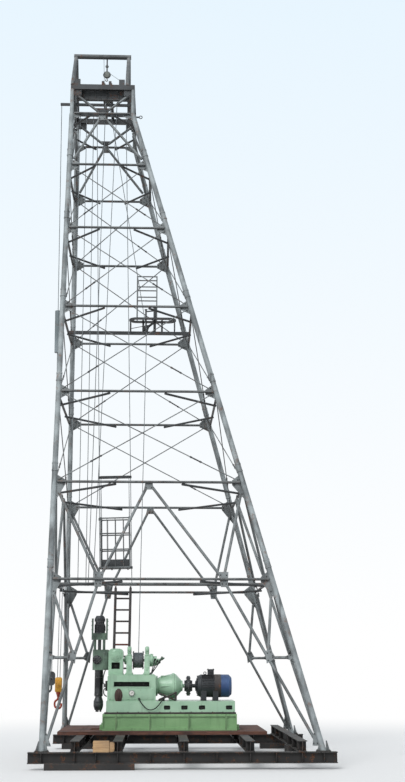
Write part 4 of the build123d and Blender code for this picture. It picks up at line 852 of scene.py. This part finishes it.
toeBoard = {"plates": [((-wide, near, low), (wide, far, toeTop)) for near, far in mirror(deep - thick, deep)]
            + [((near, -deep, low), (far, deep, toeTop)) for near, far in mirror(wide - thick, wide)]}
finished(inBasket(toeBoard), "basketToeBoards", "basket_steel", finishes["dark_steel"], body="work_basket")
floorBar = {
    "plates": [((-0.315, y - 0.012, low), (0.315, y + 0.012, low + 0.012), 0.003)
               for y in (-0.16, -0.096, -0.032, 0.032, 0.096, 0.16)]
    + [((x - 0.02, -0.235, -0.018), (x + 0.02, 0.235, 0), 0.003) for x in (-0.3, -0.1, 0.1, 0.3)]}
finished(inBasket(floorBar), "basketFloorBars", "basket_steel", finishes["dark_steel"], body="work_basket")
upright = {
    "rods": [((x, y, 0.04), (x, y, 1.228), 0.008, 8) for x in (-0.2, 0, 0.2) for y in (-0.223, 0.223)],
    "lathes": [((x, y, z - 0.028), up, [(0, 0.018), (0.006, 0.022), (0.05, 0.022), (0.056, 0.018)], 14)
               for x in (-0.354, 0.354) for y in (-0.224, 0.224) for z in (0.46, 0.856, 1.24)]}
finished(inBasket(upright), "basketUprights", "basket_steel", body="work_basket")

# board high in the tower: side frames, posts with cleats, and strut
board = {
    "plates": [((left - reach, near, low), (right + reach, far, high), edge)
               for left, right, top in ((-0.755, -0.685, 11.387), (-0.975, -0.93, 11.327))
               for reach, near, far, low, high, edge in (   # stub under the board, cleat, post above it, cap
                   (0, 0.87, 0.93, 10.772, 11.056, 0.006), (0, 0.7, 1.1, 11.052, 11.07, 0.004),
                   (0, 0.7, 0.755, 11.106, top, 0.006), (0.015, 0.69, 0.758, top - 0.004, top + 0.012, 0.004))],
    "lathes": [((-0.94, 0.87, 10.865), front, [(0, 0.07), (0.05, 0.07), (0.06, 0.055), (0.08, 0.03)], 18)],
    "rods": [((-1.36, 0.72, 10.8), (-0.19, 0.72, 11.05), 0.01, 8),
             ((-0.955, 0.728, 11.277), (-0.72, 0.728, 11.307), 0.018, 10),
             ((-1.03, 0.9, 10.79), (-0.7, 0.9, 11.07), 0.032, 12)]
    + [((x, y, 10.752), (x, y, 11.068), 0.018, 10) for x in (-1.36, -0.19) for y in (0.72, 1.08)]
    + [((x, 0.7, 10.792), (x, 1.1, 10.792), 0.016, 10) for x in (-1.36, -0.19)]}
finished(board, "boardHangers", "dark_steel")
print("basket and board done")

# crown: beam stiffeners and bolts, sheave guard, bearing caps, gin block and shackle
deepBeam = {"places": (-2.62, -2.32, -2.02, -1.72, -1.5), "half": 0.005, "depth": (0.008, 0.053), "low": 16.584,
            "high": 16.926, "edge": 0.002, "middle": -0.845}
crownBolt = {
    "x": (-2.77, -2.69, -2.47, -2.17, -1.87, -1.6), "face": -0.853, "z": (16.63, 16.72, 16.81),
    "head": 0.013, "height": 0.01, "sides": 8,
    "boltRows": [((x, y - 0.04, 16.94), (x, y + 0.04, 16.94), 2, up, 0.016)
                 for x in (-2.91, -1.34) for y in (-0.9, 0.9)]}
places = [facing((x, crownBolt["face"], z), front) for x in crownBolt["x"] for z in crownBolt["z"]]
parts = strips(**deepBeam) + made(crownBolt)
parts.append(scatter(bolt(crownBolt["head"], crownBolt["height"], crownBolt["sides"]), places))
finished(parts, "crownStiffeners", "dark_steel")

guard = {
    "bends": [([(x, y, z) for y, z in ((-0.275, 17.042), (-0.275, 17.26), (-0.2, 17.44), (0, 17.44), (0.2, 17.44),
                                      (0.275, 17.26), (0.275, 17.042))], 0.014) for x in (-2.122, -1.938)],
    "stands": [(x, y, 0.03, 0.04, 17.04, 17.055) for x in (-2.122, -1.938) for y in (-0.275, 0.275)],
    "rods": [((-2.122, y, z), (-1.938, y, z), 0.009, 8)
             for y, z in ((-0.245, 17.3), (0, 17.436), (0.245, 17.3))]}
finished(guard, "sheaveGuard", "sheave_steel")
bearingCap = {
    "lathes": [((x, 0, 17.125), way, [(0, 0.055), (0.012, 0.055), (0.018, 0.045)], 18)
               for x, way in ((-2.157, toLeft), (-1.903, toRight))]
    + [((x, y, 17.21), up, [(0, 0.018), (0.014, 0.018), (0.016, 0.011), (0.03, 0.011)], 6)
       for x in (-2.122, -1.938) for y in (-0.055, 0.055)]}
finished(bearingCap, "bearingCaps", "sheave_steel")

ginBlock = {
    "lathes": [((-2.08, side * 0.03, 17.77), (0, side, 0),
                [(0, 0.08), (0.006, 0.08), (0.01, 0.07), (0.01, 0.03), (0.02, 0.028)], 24) for side in both],
    "hoops": [((-2.08, 0, 17.77), rear, 0.095, 0.011, 32), ((-2.08, 0, 18.02), rear, 0.034, 0.013, 24)],
    "bends": [([(-2.08, 0, 17.68), (-2.08, 0, 17.64), (-2.05, 0, 17.61), (-2.08, 0, 17.575), (-2.12, 0, 17.6),
                (-2.115, 0, 17.63)], 0.012)]}
finished(ginBlock, "ginBlockTrim", "sheave_steel")
ginLine = {"rods": [((-2, 0, 17.81), (-1.7, -0.98, 17.092), 0.006, 8),
                    ((-2.17, 0, 18.243), (-2.125, -0.16, 17.041), 0.006, 8)]}
finished(ginLine, "ginLines", "wire_rope", None, 60)
shackle = {"plates": [((-1.285, -1, 16.015), (-1.16, -0.98, 16.055))],
           "hoops": [((-1.125, -0.99, 16.035), rear, 0.038, 0.011, 20)]}
finished(shackle, "cornerShackle", "dark_steel")
print("crown done")

# hook block: cheek bolts and pin
hookBolt = {"boltRings": [(5, (-3.085, -0.2 + side * 0.045, 1.84), (0, side, 0), 0.055, 0.009, 0.008) for side in both]}
hookPin = {"lathes": [((-3.085, -0.2 + side * 0.045, 1.84), (0, side, 0),
                       [(0, 0.034), (0.012, 0.034), (0.016, 0.02)], 6) for side in both]}
finished(hookBolt, "hookBolts", "dark_steel")
finished(hookPin, "hookPin", "worn_steel")

# chain block hung from a lug on the left girt
chainBlock = {
    "plates": [((-3.029, 0.1, 1.5), (-2.859, 0.2, 1.86), 0.04)],
    "lathes": [((-2.944, 0.15 + side * 0.05, 1.69), (0, side, 0),
                [(0, 0.078), (0.016, 0.078), (0.024, 0.06), (0.026, 0.024), (0.038, 0.022)], 28)
               for side in both]}
chainLine = {
    "rods": [((x, 0.15, 1.85), (x, 0.15, 3.99), 0.008, 8) for x in (-2.974, -2.914)],
    "hoops": [((-3.018, y, 4.02), rear, 0.036, 0.008, 20) for y in (0.135, 0.165)],
    "plates": [((-2.99, 0.13, 3.986), (-2.899, 0.17, 4.05), 0.006)]}
chainHook = {
    "lathes": [((-2.944, 0.15, 1.51), (0, 0, -1),
                [(0, 0.055), (0.04, 0.055), (0.06, 0.04), (0.1, 0.034), (0.11, 0.024)], 20)],
    "bends": [([(x, 0.15, z) for x, z in ((-2.944, 1.42), (-2.944, 1.34), (-3.029, 1.3), (-3.024, 1.16),
                                          (-2.914, 1.12), (-2.859, 1.19), (-2.869, 1.25))], 0.024)],
    "rods": [((-2.874, 0.15, 1.245), (-2.959, 0.15, 1.36), 0.009, 8)]}
finished(chainBlock, "chainBlock", "hook_yellow")
finished(chainLine, "chainBlockLines", "wire_rope", None, 60)
finished(chainHook, "chainBlockHook", "hook_yellow", hookRed)

# ladder: channels over the rails and thicker rungs, one of them reddish
ladder = {
    "rails": (-1.6975, -1.3025), "rail": (0.034, 0.03), "clear": 0.03, "edge": 0.006, "left": -1.673,
    "right": -1.327, "foot": (0, 1.56, 0.66), "top": (0, 2.506, 4.16), "rungs": 11, "firstRung": 1 / 3,
    "pitch": 0.31, "red": 7, "radius": 0.023}
near, run = Vector(ladder["foot"]), Vector(ladder["top"]) - Vector(ladder["foot"])
stand = spun(near, -math.atan2(run.y, run.z), "X")
rails = [moved(stood(x, 0, *ladder["rail"], ladder["clear"], run.length - ladder["clear"], ladder["edge"]), stand)
         for x in ladder["rails"]]
for index in range(1, ladder["rungs"] + 1):
    spot = near + run.normalized() * ladder["pitch"] * (index - ladder["firstRung"])
    rung = rod((ladder["left"], spot.y, spot.z), (ladder["right"], spot.y, spot.z), ladder["radius"])
    if index == ladder["red"]:
        finished([rung], "redRung", "ladder_steel", rungRed)
    else:
        rails.append(rung)
finished(rails, "ladderChannels", "ladder_steel")
print("small fittings done")

# light ropes hanging taut inside the left half of the tower
lines = {
    "foot": 4.139, "footY": 0.4, "radius": 0.009, "tipShare": 0.05, "feet": (-2.78, -2.56, -2.36, -2.3, -2.18),
    "tops": ((-2.8, 0.4, 16.741), (-2.63, 0.4, 16.741), (-2.44, 0.4, 16.741), (-2.05, -0.845, 16.571),
             (-1.75, -0.845, 16.571)), "eyeDrop": 0.035, "eye": (0.046, 0.008, 20)}
parts = []
for top, x in zip(lines["tops"], lines["feet"]):
    parts.append(rod((x, lines["footY"], lines["foot"]), top, lines["radius"], 8, lines["tipShare"]))
    parts.append(hoop((x, lines["footY"], lines["foot"] - lines["eyeDrop"]), toRight, *lines["eye"]))
finished(parts, "lightLines", "wire_rope", None, 60)
print("lines done")
